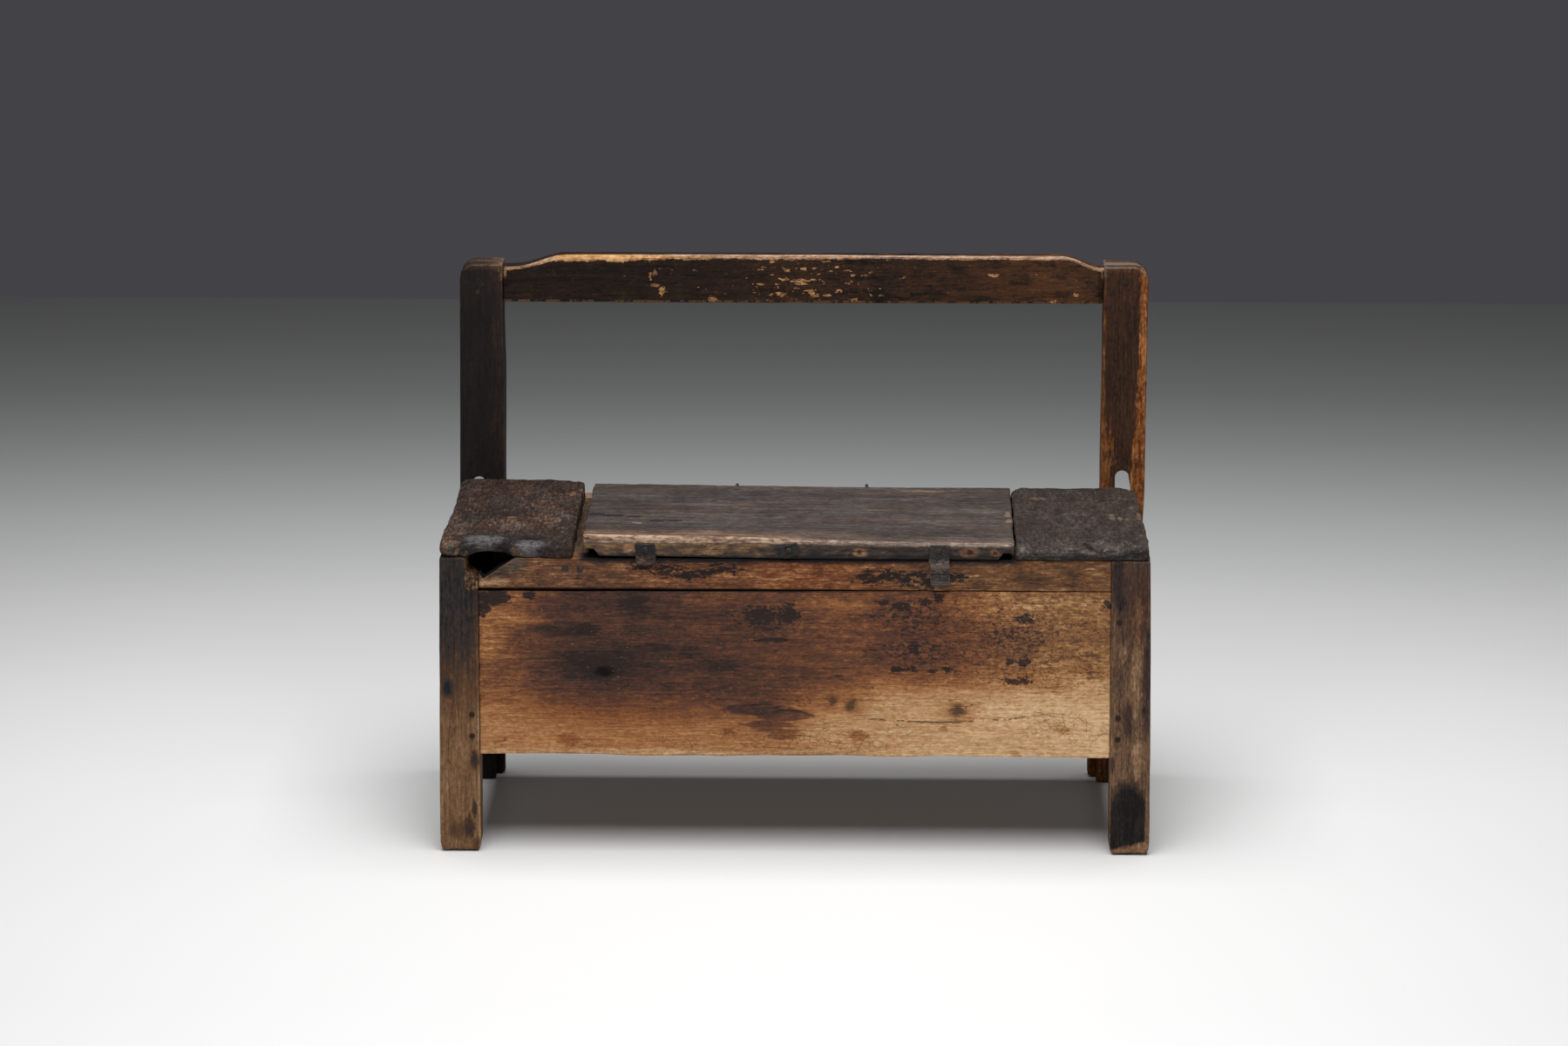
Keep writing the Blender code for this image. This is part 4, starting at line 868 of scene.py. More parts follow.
def seat_board_finish(name, seed, left):
    """Dark dusty end board of the seat; the left one is burnished, the right one blistered."""
    f = Finish(name, "x", seed)
    far = f.wobble((50, 50, 30), (60, 50, 0))
    far = f.wobble((12, 12, 10), (14, 14, 0), 3.0, far)
    near = f.wobble(10, (10, 10, 4), 4.0)
    far_x, _, _ = f.parts(far)
    crumb = f.math("SUBTRACT", f.noise((4.2, 14, 6), 6, 0.82, 0.2, 31.0), 0.5)
    clump = f.uneven((22, 60, 20), 32.0)
    level = f.total(
        0.36 if left else 0.44, (crumb, 2.1 if left else 1.2), (clump, 0.6), (f.tone, 0.18),
        (f.uneven((12, 30, 6), 2.0), 0.45),
    )
    front = f.smooth(f.y, -148, -172)
    rust_red = f.wood((8.5, 4, 2.1), (16.5, 8.4, 4.5), (26, 15, 8.8))
    if left:
        scuffs = f.ovals("xy", far, 0.9, (-352, -35, 34, 90), (-400, -90, 45, 35))
        rusty = f.scale(f.smooth(far_x, -444, -482), f.smooth(f.y, 60, -80))
        roll = f.scale(
            f.smooth(f.total(f.y, (f.uneven(12, 14.0), 20)), -136, -154),
            f.within(f.x, -470, -346, 10),
        )
        level = f.total(
            level, (f.fret(f.scale(scuffs, 0.65), (12, 20, 10), 1.2, 8.0), 0.2),
            (f.fret(f.scale(rusty, 0.65), (10, 25, 10), 0.9, 6.0), 0.12),
        )
        level = f.total(level, (f.ovals("xy", far, 0.8, (-430, -30, 50, 20)), -0.12))
        # The burnished roll's colour: dark wood with a painted highlight along its top.
        painted_highlight = f.ovals("xy", near, 0.9, (-435, -162, 36, 21), (-369, -179, 28, 13))
        sheen = f.wood((0.8, 0.68, 0.63), (1.8, 1.5, 1.38), (4, 3.3, 3))
        sheen = f.layer(
            sheen, f.fret(f.scale(painted_highlight, 0.72), (8, 10, 6), 0.7, 4.0), 0.75,
            f.wood((6, 5.6, 5.5), (11.2, 10.5, 10.2), (18.2, 17.2, 16.8)),
        )
        flecks = f.scale(
            f.specks((4.5, 13, 5), 0.55, 0.62, 17.0), f.total(0.3, (f.most(scuffs, rusty), 0.7)),
        )
        chips = f.ovals("xy", near, 0.8, (-325, 70, 8, 13), (-313, 88, 5, 8), (-404, -50, 10, 7))
    else:
        ring = f.ovals("xy", near, 0.14, (395, -55, 32, 45))
        inner = f.ovals("xy", near, 0.14, (395, -55, 26, 37))
        face = f.scale(f.smooth(f.z, 450, 446), f.smooth(f.y, -180, -184.5))
        # Painted glints: light specks along the front.
        painted_glints = f.scale(f.smooth(f.y, -158, -176), f.specks((7, 4, 6), 0.52, 0.62, 6.0))
        star = f.ovals("xy", near, 0.8, (424, -172, 34, 18))
        level = f.total(
            level, (f.less(ring, inner), 0.12), (painted_glints, 0.24), (face, -0.2), (star, 0.1),
        )
        roll = f.scale(front, 0.75)
        sheen = f.ramp(
            level, (0.1, (1.05, 0.86, 0.8)), (0.4, (3.4, 2.7, 2.4)), (0.7, (9.2, 7.5, 6.8)),
            (1.0, (23, 19.5, 18)),
        )
        flecks = f.scale(f.specks((5, 14, 5), 0.62, 0.68, 17.0), 0.5)
        chips = f.ovals(
            "xy", near, 0.8, (350, 75, 15, 9), (449.5, -36, 5, 19), (460, -41, 4.5, 14),
            (470.5, -46, 4.2, 12), (488, -30, 5, 28),
        )
    f.colour = f.ramp(
        level, (0.0, (0.75, 0.62, 0.58)), (0.246, (1.7, 1.2, 1.02)), (0.44, (3.3, 2.25, 1.82)),
        (0.6, (5.7, 4.05, 3.3)), (0.735, (9, 6.7, 5.45)), (0.87, (14.2, 10.6, 8.4)),
        (1.0, (22, 16.5, 12.8)),
    )
    red = f.smooth(f.noise((60, 60, 30), 5, 0.65, 0.3, 2.0), 0.42, 0.6)
    f.lay(red, 0.7 if left else 0.25, (108, 74, 58), "MULTIPLY")
    if not left:
        f.colour = f.mix(1.0, f.colour, (100, 110, 116), "MULTIPLY")
    f.lay(flecks, 0.6, rust_red)
    f.lay(
        f.fret(f.scale(chips, 0.72), (8, 14, 6), 1.1, 8.0, 0.12), 0.8 if left else 0.55,
        rust_red if left else f.wood((8.5, 5, 3.3), (15.5, 10, 6.8), (25, 17, 12)),
    )
    # The front's colour on the roll: burnished wood with a painted highlight on the left, blistered
    # wood with painted glints on the right.
    f.lay(roll, 0.95, sheen)
    pits = f.specks((3.6, 9, 4), 0.61, 0.67, 13.0)
    if left:
        # Painted shade: near black on the board's underside over the hole.
        under = f.scale(
            f.ovals("xz", f.place, 0.2, (-425, 434.3, 36, 11)), f.smooth(f.y, -170, -162),
        )
        f.lay(under, 0.95, (0.9, 0.8, 0.8))
        corner = f.smooth(f.y, -160, -174)
        crumb_tone = f.noise(3.5, 4, 0.7, 0.2, 33.0)
        rim = f.scale(f.ovals("xz", near, 0.4, (-482, 445, 16.5, 13.5)), corner)
        f.lay(
            f.fret(f.scale(rim, 0.6), 6, 2.0, 19.0, 0.1), 0.85,
            f.ramp(
                crumb_tone, (0.4, (4.5, 2.3, 1.3)), (0.5, (13, 7, 3.6)), (0.62, (26, 16.5, 9.8)),
            ),
        )
        crumbs = f.ovals(
            "xz", near, 0.6, (-462, 437.5, 8.5, 6.5), (-386, 440, 12, 6), (-395, 447, 7, 5),
        )
        crumbs = f.scale(crumbs, corner)
        crumbs = f.fret(f.scale(crumbs, 0.58), 5, 2.4, 27.0, 0.1)
        f.lay(
            crumbs, 0.85,
            f.ramp(
                crumb_tone, (0.4, (3, 1.7, 1.1)), (0.5, (8.5, 4.7, 2.6)), (0.62, (19, 11.5, 6.6)),
            ),
        )
        knob = f.scale(f.ovals("xz", near, 0.4, (MM * KNOB_X, MM * KNOB_Z, 7.5, 6.8)), corner)
        f.lay(knob, 0.9, f.wood((1.4, 1.2, 1.12), (3.2, 2.8, 2.62), (6.6, 5.8, 5.4)))
        worm = f.ovals(
            "xz", near, 0.5, (-337.5, 453.5, 2.8, 2.6), (-330.5, 445.5, 2.4, 2.2),
            (-356, 444, 1.8, 1.8),
        )
        pits = f.most(pits, f.scale(worm, front))
    net = f.noise((22, 22, 12), 3, 0.6, 1.2, 12.0)
    blister = f.ovals("xy", far, 0.8, (-345, -178, 30, 18) if left else (425, -165, 50, 30))
    branching = f.scale(f.line(f.math("SUBTRACT", net, 0.5), 0.014), blister)
    cracks = f.most(f.scale(f.cracks(70, 14, 0.006), 0.5), branching, f.scale(pits, 0.8))
    if not left:
        bent = f.total(f.y, (f.mottle, 6))
        arms = f.scale(
            f.line(f.total(-112.4, (f.x, 0.594), (bent, 0.804)), 5.5), f.within(f.x, 405, 431, 3),
        )
        down = f.scale(
            f.line(f.total(-432.5, (f.x, 1.0), (f.mottle, 7)), 3.6), f.within(f.y, -187, -170, 3),
        )
        away = f.scale(
            f.line(f.total(271.2, (f.x, -0.22), (bent, 1.0)), 6), f.within(f.x, 426, 449, 3),
        )
        cracks = f.most(cracks, arms, down, away)
    f.lay(cracks, 0.92, (0.7, 0.55, 0.5))
    lumps = f.noise(8, 4, 0.6, 0.2, 15.0)
    height = f.total(
        0.0, (crumb, 0.9), (f.mottle, 0.6), (f.grit, 0.3), (lumps, 1.1), (cracks, -0.9),
    )
    rough = f.total(f.gloss(0.46, 0.66), (roll, -0.2 if left else -0.12))
    return f.finish(rough, height, 2.6, 0.15)


def crest_finish():
    """Smoke-black rail, flaked in the middle, browner on the right, rubbed bare along the top."""
    f = Finish("crest_wood", "x", 17.0)
    far = f.wobble((60, 30, 20), (90, 4, 8))
    near = f.wobble(8, (12, 4, 5), 4.0)
    far_x, _, _ = f.parts(far)
    along = f.add(f.metres(far_x), 0.5)
    level = f.curve(
        along, (0.2, 0.26), (0.36, 0.31), (0.48, 0.4), (0.62, 0.4), (0.74, 0.47), (0.84, 0.62),
        (0.95, 0.56),
    )
    blots = f.scale(f.specks((30, 20, 12), 0.5, 0.64, 3.0), f.smooth(far_x, 0, 100))
    level = f.total(
        level, (f.tone, 0.5), (f.uneven((30, 30, 10), 1.0), 0.34), (f.uneven((6, 6, 4), 2.0), 0.3),
        (blots, -0.22),
    )
    f.colour = f.ramp(
        level, (0.0, (0.66, 0.54, 0.5)), (0.2, (1.15, 0.85, 0.73)), (0.38, (2.25, 1.32, 0.95)),
        (0.55, (4.6, 2.08, 1.1)), (0.7, (7.4, 3.25, 1.5)), (0.85, (11.8, 5.8, 2.7)),
        (1.0, (18, 9.8, 5)),
    )
    crowd = f.curve(
        along, (0.18, 0.34), (0.26, 0.42), (0.34, 0.43), (0.41, 0.5), (0.47, 0.552), (0.57, 0.552),
        (0.62, 0.48), (0.72, 0.4), (0.8, 0.34), (0.95, 0.42),
    )
    patchy = f.noise((15, 20, 5.6), 2, 0.55, 0.3, 7.0)
    flakes = f.total(crowd, (patchy, 1.0), (f.uneven((4, 4, 2), 8.0), 0.25))
    flakes = f.smooth(flakes, 1.15, 1.185)
    named = f.ovals(
        "xz", near, 0.6, (-214, 764, 3, 7), (-208, 769, 3, 5), (-198, 741, 6, 8),
        (-208, 750, 10, 2.5), (-124, 728, 8, 6), (281, 766.5, 9, 3), (368.5, 727, 6, 3.5),
        (400, 738, 5, 3),
    )
    flakes = f.most(flakes, f.fret(f.scale(named, 0.66), (4, 4, 2.5), 2.2, 6.0, 0.08))
    bare = f.wood((15, 6, 2.1), (31, 15.2, 6), (50, 29, 13.5))
    small = f.specks((4.5, 4, 3), 0.655, 0.7, 14.0)
    flakes = f.most(flakes, f.scale(small, f.total(0.25, (f.smooth(far_x, -150, 50), 0.55))))
    flakes = f.less(flakes, f.scale(f.smooth(f.y, 160, 163), f.smooth(f.z, 770, 780)))
    f.lay(flakes, 0.88, bare)
    scratch = f.scale(f.line(f.uneven((16, 50, 90), 9.0), 0.006), f.specks(20, 0.56, 0.62, 5.0))
    f.lay(scratch, 0.35, (15, 7.5, 3.6))
    f.lay(f.smooth(f.math("ABSOLUTE", f.x), 430, 434.5), 0.6, (0.6, 0.48, 0.45))
    gold = f.wood((16, 6.6, 2.2), (37, 18, 6.8), (58, 35, 16.5))
    # Pink-grey: a painted highlight along the top edge.
    painted_pink_highlight = f.wood((14, 9, 6.4), (31, 21.5, 16), (52, 40, 33))
    rubbed = f.mix(f.most(f.smooth(far_x, -300, -120), f.smooth(far_x, -340, -370)), gold, painted_pink_highlight)
    width = f.scale(
        f.curve(
            along, (0.08, 0.0036), (0.145, 0.004), (0.165, 0.0056), (0.25, 0.006), (0.32, 0.0036),
            (0.42, 0.0026), (0.5, 0.0028), (0.6, 0.0016), (0.75, 0.0026), (0.88, 0.0018),
            (0.94, 0.0014),
        ),
        MM,
    )
    ragged = f.total(f.edge, (f.uneven((16, 20, 20), 12.0), 9), (f.uneven(4, 13.0), 4))
    top = f.smooth(f.math("SUBTRACT", ragged, width), 1.1, -0.6)
    top = f.scale(top, f.smooth(f.z, 758, 764), f.smooth(f.y, 158, 156))
    brown = f.wood((11, 5.4, 2.8), (24, 13.2, 7.2), (42, 27, 17.5))
    browner = f.most(f.smooth(far_x, -240, -80), f.smooth(far_x, -340, -370))
    f.lay(top, 0.9, f.mix(browner, gold, brown))
    # Along the top edge: rubbed gold wood in the middle, a painted pink highlight elsewhere.
    above = f.scale(
        f.smooth(f.total(f.y, (f.uneven((20, 8, 20), 15.0), 6)), 164, 161.5),
        f.smooth(f.y, 154.5, 156),
    )
    above = f.scale(above, f.smooth(f.z, 762, 770), f.smooth(far_x, -375, -345))
    f.lay(above, 0.88, rubbed)
    low = f.scale(f.smooth(f.z, 729.2, 725.5), f.specks((10, 20, 20), 0.42, 0.52, 11.0))
    f.lay(low, 0.75, (19, 8.8, 3.6))
    f.lay(f.worn(1.8), 0.3, (10.5, 5.5, 2.8))
    cracks = f.cracks(100, 8, 0.006)
    f.lay(cracks, 0.7, (0.6, 0.5, 0.45))
    return f.finish(f.gloss(0.46, 0.64), f.surface(cracks, f.scale(flakes, -0.35)), 1.1, 0.04)


def post_finish(side):
    """Left post near black; right post dark brown with an orange rubbed outer edge."""
    f = Finish(f"{side}_post_wood", "z", 20.0 + SIGNS[side])
    far = f.wobble((30, 30, 80), (8, 6, 80))
    far = f.wobble((3, 3, 50), (2, 0, 30), 3.0, far)
    far_x, _, far_z = f.parts(far)
    cracks = f.cracks(120, 9, 0.006)
    level = f.total(
        0.5 if side == "left" else 0.53, (f.tone, 0.34), (f.fine, 0.1 if side == "left" else 0.56),
        (f.uneven((20, 20, 80), 1.0), 0.4), (f.uneven((6, 6, 12), 2.0), 0.32),
    )
    crown = f.scale(f.smooth(f.z, 770, 778), 0.5)
    if side == "left":
        level = f.total(
            level, (f.smooth(far_x, -452, -440), 0.14), (f.worn(2.5), 0.16), (crown, 0.45),
        )
        f.colour = f.ramp(
            level, (0.15, (0.62, 0.6, 0.63)), (0.42, (1, 0.9, 0.91)), (0.58, (1.5, 1.2, 1.12)),
            (0.72, (2.6, 1.62, 1.28)), (0.9, (5.2, 3.1, 2.2)), (1.0, (8.5, 5.6, 4.2)),
        )
        golden = f.scale(f.smooth(f.x, -440, -432), f.smooth(f.z, 738, 765))
        f.lay(f.fret(f.scale(golden, 0.5), (5, 5, 8), 1.6), 0.8, (15, 7.8, 3.6))
    else:
        level = f.total(level, (f.smooth(far_z, 660, 500), 0.05), (f.worn(2.2), 0.12), (crown, 0.3))
        f.colour = f.ramp(
            level, (0.1, (0.85, 0.68, 0.62)), (0.36, (1.75, 1.1, 0.85)), (0.52, (3.2, 1.65, 1.06)),
            (0.68, (5.2, 2.4, 1.32)), (0.84, (8.4, 3.8, 1.9)), (1.0, (14, 6.8, 3.3)),
        )
        honey = f.wood((7.5, 2.2, 0.7), (18.5, 6.2, 1.9), (36, 15.5, 5.2))
        reach = f.total(f.x, (f.smooth(f.z, 560, 660), -3.5), (f.smooth(f.z, 560, 480), 6))
        rubbed = f.scale(f.smooth(reach, 482, 493), f.smooth(f.y, 172, 150))
        f.lay(f.fret(f.scale(rubbed, 0.66), (6, 6, 30), 1.2, 6.0, 0.12), 0.92, honey)
        arris = f.scale(f.smooth(f.x, 448, 442.5), f.total(0.42, (f.smooth(f.z, 720, 560), 0.2)))
        streaks = f.scale(f.smooth(f.x, 476, 446), f.smooth(f.z, 630, 500), 0.62)
        f.lay(f.fret(f.most(arris, streaks), (4.5, 4.5, 26), 1.3, 12.0, 0.14), 0.7, honey)
        f.lay(f.scale(f.worn(3, 5.0), f.smooth(f.z, 764, 769)), 0.75, (12, 9.8, 8.8))
        flakes = f.specks((6, 6, 14), 0.68, 0.71, 9.0)
        f.lay(flakes, 0.6, (15, 6.8, 3))
    slot = f.scale(f.within(f.math("ABSOLUTE", f.x), 454, 487, 1), f.within(f.y, 146.5, 189.5, 1))
    f.lay(f.scale(slot, f.smooth(f.z, 485, 482)), 0.9, (0.6, 0.5, 0.5))
    f.lay(cracks, 0.7, (0.5, 0.45, 0.45))
    return f.finish(f.gloss(0.44, 0.64), f.surface(cracks), 0.9, 0.04)


def plank_finish(name, grain, seed, dark, middle, light):
    """Plain aged plank for the boards that are seen from the sides, behind and inside."""
    f = Finish(name, grain, seed)
    f.colour = f.wood(dark, middle, light)
    stain = f.specks(grain_size(grain, 160, 50), 0.46, 0.66, 2.0)
    f.lay(stain, 0.6, (40, 36, 36), "MULTIPLY")
    dust = f.specks(grain_size(grain, 50, 4), 0.6, 0.72, 7.0)
    f.lay(dust, 0.3, tuple(1.4 * part for part in light))
    cracks = f.cracks(120, 14, 0.008)
    f.lay(cracks, 0.75, tuple(0.2 * part for part in dark))
    return f.finish(f.gloss(0.6, 0.8), f.surface(cracks), 1.1)


def leather_finish(name, seed, dark, middle, light, rust=None, upper=False, crease=None):
    """Stiff old leather: cross cracks and pits, rubbed lighter on the edges."""
    f = Finish(name, "x", seed)
    f.colour = f.blotchy(dark, middle, light)
    crack = f.cell_edges((10, 10, 3.5), 0.14, 0.0, f.wobble(6, 4))
    if rust is not None:
        low = f.smooth(f.z, rust + 4, rust - 2)
        f.lay(low, 0.8, f.blotchy((3.4, 1.7, 1), (8.4, 4.4, 2.6), (15, 8.6, 5.4)))
    f.lay(crack, 0.7, tuple(0.35 * part for part in dark))
    f.lay(f.worn(2.2), 0.6, light)
    if upper:
        grimy = f.smooth(f.total(f.z, (f.mottle, 4)), 435, 439)
        f.lay(grimy, 0.9, f.blotchy((0.9, 0.8, 0.78), (2, 1.65, 1.52), (4.5, 3.6, 3.2)))
    if crease is not None:
        bent = f.total(f.z, (f.uneven((12, 20, 20), 9.0), 4))
        # Painted highlights on the two rolls, 12.5 mm either side of the crease.
        rubbed = f.line(f.add(f.math("ABSOLUTE", f.add(bent, -crease)), -12.5), 7)
        f.lay(rubbed, 0.6, light)
        crack = f.most(crack, f.line(f.add(bent, -crease), 2.6))
        # Painted shade in the crease.
        f.lay(f.line(f.add(bent, -crease), 3), 0.85, tuple(0.3 * part for part in dark))
    height = f.total(0.0, (f.noise(2, 3, 0.6), 0.4), (f.mottle, 0.6), (crack, -0.9))
    return f.finish(f.gloss(0.5, 0.75), height, 1.3, 0.25)


def iron_finish():
    """Forged iron under brown rust, with darker scale."""
    f = Finish("rusty_iron_worn", "x", 31.0)
    rust = f.noise(4, 5, 0.65)
    f.colour = f.ramp(rust, (0.36, (1.2, 1, 0.95)), (0.5, (3, 2.1, 1.7)), (0.66, (7.5, 3.6, 1.9)))
    pits = f.specks(1.5, 0.55, 0.65, 3.0)
    f.lay(pits, 0.6, (1, 0.8, 0.75))
    f.shader.inputs["Metallic"].default_value = 0.2
    return f.finish(f.gloss(0.6, 0.85), f.total(rust, (pits, -0.5)), 0.5, 0.3)


def peg_finish():
    """Dark end grain: close pores on a brown ground."""
    f = Finish("peg_end_grain", "y", 37.0)
    pores = f.noise((1.2, 4, 1.2), 3, 0.6)
    f.colour = f.ramp(
        pores, (0.38, (0.9, 0.7, 0.65)), (0.52, (2.4, 1.5, 1.1)), (0.68, (5.5, 3.2, 2.1)),
    )
    return f.finish(f.gloss(0.5, 0.7), f.total(pores, (f.mottle, 0.6)), 0.6)


# ---------------------------------------------------------------- pieces


def box_of(node):
    low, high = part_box(node)
    return np.array(low), np.array(high)


LEG_BOXES = {side: box_of(f"front_{side}_leg") for side in SIGNS}
LEG_INNER = LEG_BOXES["right"][0][0]
LEG_OUTER, _, LEG_TOP = LEG_BOXES["right"][1]
RAIL_FIT = 0.0002
PANEL_FIT = 0.0003

# The hole worn between the left leg, the rail and the left seat board.
HOLE_TIP_X = -0.437
HOLE_TIP_Z = 0.402
HOLE_RIGHT_X = -0.391
HOLE_LEFT_X = -0.459
HOLE_LINES = np.arange(0.3975, 0.4215, 0.0021)
HOLE_CURVE = (HOLE_TIP_Z - 0.003, HOLE_TIP_Z + 0.013)


def hole_floor(x):
    """Height of the rail's top along the worn hole."""
    share = np.clip((HOLE_RIGHT_X - x) / (HOLE_RIGHT_X - HOLE_TIP_X), 0, 1)
    right = LEG_TOP - (LEG_TOP - HOLE_TIP_Z) * share
    rise = np.clip((HOLE_TIP_X - x) / (HOLE_TIP_X - HOLE_LEFT_X), 0, 1)
    return right + (LEG_TOP - HOLE_TIP_Z) * rise


LEG_SPLAY = 0.0072
LEG_TAPER = 0.0025
FOOT_INSET = 0.0055
FOOT_HEIGHT = 0.020
FOOT_WEAR = 0.006
HOLE_WEAR = 0.007


def foot_wear(z):
    return FOOT_WEAR * np.exp(-z / FOOT_WEAR)


def splayed(points):
    """Spreads the legs, and the panel between them, a little towards the floor."""
    points[:, 0] *= 1 + LEG_SPLAY * np.clip(1 - points[:, 2] / LEG_TOP, 0, 1)


def leg(side, seed, material):
    name = f"front_{side}_leg"
    sign = SIGNS[side]
    low, high = LEG_BOXES[side]

    def wear(x, y, z):
        if side == "right":
            return foot_wear(z)
        inner = ramp_up(x, -0.456, -0.446) * ramp_up(-y, 0.165, 0.180)
        return foot_wear(z) + HOLE_WEAR * inner * ramp_up(z, 0.345, 0.385)

    finer = HOLE_LINES if side == "left" else ()
    points, rest, faces, edge = worn_box(low, high, "z", seed, 0.0030, 0.0006, wear, finer)
    x, _, z = rest.T
    if side == "left":
        bite = (high[0] - HOLE_LEFT_X) * ramp_up(z, *HOLE_CURVE)
        points[:, 0] -= bite * share_of(x, low[0], high[0]) ** 2
    outward = np.clip(share_of(sign * x, LEG_INNER, LEG_OUTER), 0, 1)
    points[:, 0] -= sign * LEG_TAPER * outward * (z / LEG_TOP) ** 2
    middle = (low + high) / 2
    worn = FOOT_INSET * (1 - np.sqrt(1 - np.clip(1 - z / FOOT_HEIGHT, 0, 1) ** 2))
    points[:, :2] -= (points[:, :2] - middle[:2]) / (high - low)[:2] * 2 * worn[:, None]
    splayed(points)
    piece = add_piece(f"worn_{name}", points, faces, edge, material)
    stand_for(piece, name, "frame")


def front_rail(material):
    low, high = box_of("front_rail")
    low[0], high[0] = -LEG_INNER + RAIL_FIT, LEG_INNER - RAIL_FIT
    points, rest, faces, edge = worn_box(low, high, "x", 41, 0.0020, 0.0006)
    x, _, z = rest.T
    points[:, 2] -= (high[2] - hole_floor(x)) * share_of(z, low[2], high[2])
    piece = add_piece("worn_front_rail", points, faces, edge, material)
    stand_for(piece, "front_rail", "frame")


PANEL_RIPPLE = 0.0018
PANEL_NICK = 0.0016
PANEL_FALL = 0.0024


def front_panel(material):
    low, high = box_of("front_panel")
    low[0], high[0] = -LEG_INNER + PANEL_FIT, LEG_INNER - PANEL_FIT
    points, rest, faces, edge = worn_box(low, high, "x", 43, 0.0014, 0.0007)
    x, _, z = rest.T
    share = share_of(z, low[2], high[2])
    ripple = PANEL_RIPPLE * field(rest * (1, 0, 0), (0.07, 1, 1), 44)
    points[:, 2] -= (ripple + PANEL_NICK * bell(x, -0.10, 0.02)) * (1 - share) ** 3
    points[:, 2] -= PANEL_FALL * ramp_up(-x, -0.2, 0.4) * share ** 3
    splayed(points)
    piece = add_piece("worn_front_panel", points, faces, edge, material)
    stand_for(piece, "front_panel", "frame")


LID_LIP_RISE = 0.010
LID_LEFT_LIP = 0.018
LID_RIGHT_LIP = 0.0215
LID_LIP_SLOPE = 0.002
LID_WARP_LEFT = 0.0040
LID_WARP_RIGHT = 0.0030
LID_FALL = 0.0045
LID_WEAR = 0.0045
LID_RIDGES = 0.0006


def lid(material):
    low, high = box_of("lid")

    def wear(x, y, z):
        return LID_WEAR * (ramp_up(-y, 0.165, 0.185) * ramp_up(z, 0.445, 0.455))

    points, rest, faces, edge = worn_box(low, high, "x", 47, 0.0028, 0.0009, wear)
    x, y, z = rest.T
    ridges = field(rest, grain_size("x", 0.30, 0.010), 48) * ramp_up(z, 0.455, 0.463)
    points[:, 2] += LID_RIDGES * ridges
    up = share_of(z, low[2], high[2])
    across = share_of(x, low[0], high[0])
    points[:, 2] += LID_WARP_LEFT * (1 - across) ** 2 - LID_WARP_RIGHT * up * across ** 2
    points[:, 2] -= LID_FALL * up * ramp_up(x, -0.10, 0.20) * ramp_up(-y, 0.12, 0.187)
    left, right = -low[0] - LID_LEFT_LIP, high[0] - LID_RIGHT_LIP
    lip = ramp_up(-x, left, left + LID_LIP_SLOPE) + ramp_up(x, right, right + LID_LIP_SLOPE)
    points[:, 2] += LID_LIP_RISE * lip * (1 - up)
    piece = add_piece("worn_lid", points, faces, edge, material)
    stand_for(piece, "lid", "lid")


BOARD_ROUND = 0.026
BOARD_REACHES = {"left": 0.0060, "right": 0.0040}
BOARD_WEAR = 0.003
BOARD_LUMPS = 0.0011
BOARD_CRUMBS = 0.0007
BOARD_BACK_WAVE = 0.0026

# The right board is hollowed at its front and lower at the back.
DISH_DEPTH = 0.0135
DISH_LUMPS = 0.0024
BOARD_SAG = 0.0035

# The left board is higher at the back; its front rolls over the hole between two creases.
BOARD_WARP = 0.0055
BOARD_ARCH_X = -0.4215
BOARD_ARCH_HALF = 0.032
BOARD_ARCH_BACK = 0.140
BOARD_ARCH_SLOPE = 0.006
ARCH_WORN = 0.0050
ROLL_SETBACK = 0.011
ROLL_WEAR = 0.007
CORNER_WEAR = 0.005
CREASE_DEPTH = 0.0045
CREASE_SETBACK = 0.004
LIP_FALL = 0.003
BACK_TAB = 0.004
KNOB_X = -0.4809
KNOB_Z = 0.4457
KNOB_RADII = (0.0105, 0.0095)
KNOB_HEIGHT = 0.0040
KNOB_MOAT = 0.0020


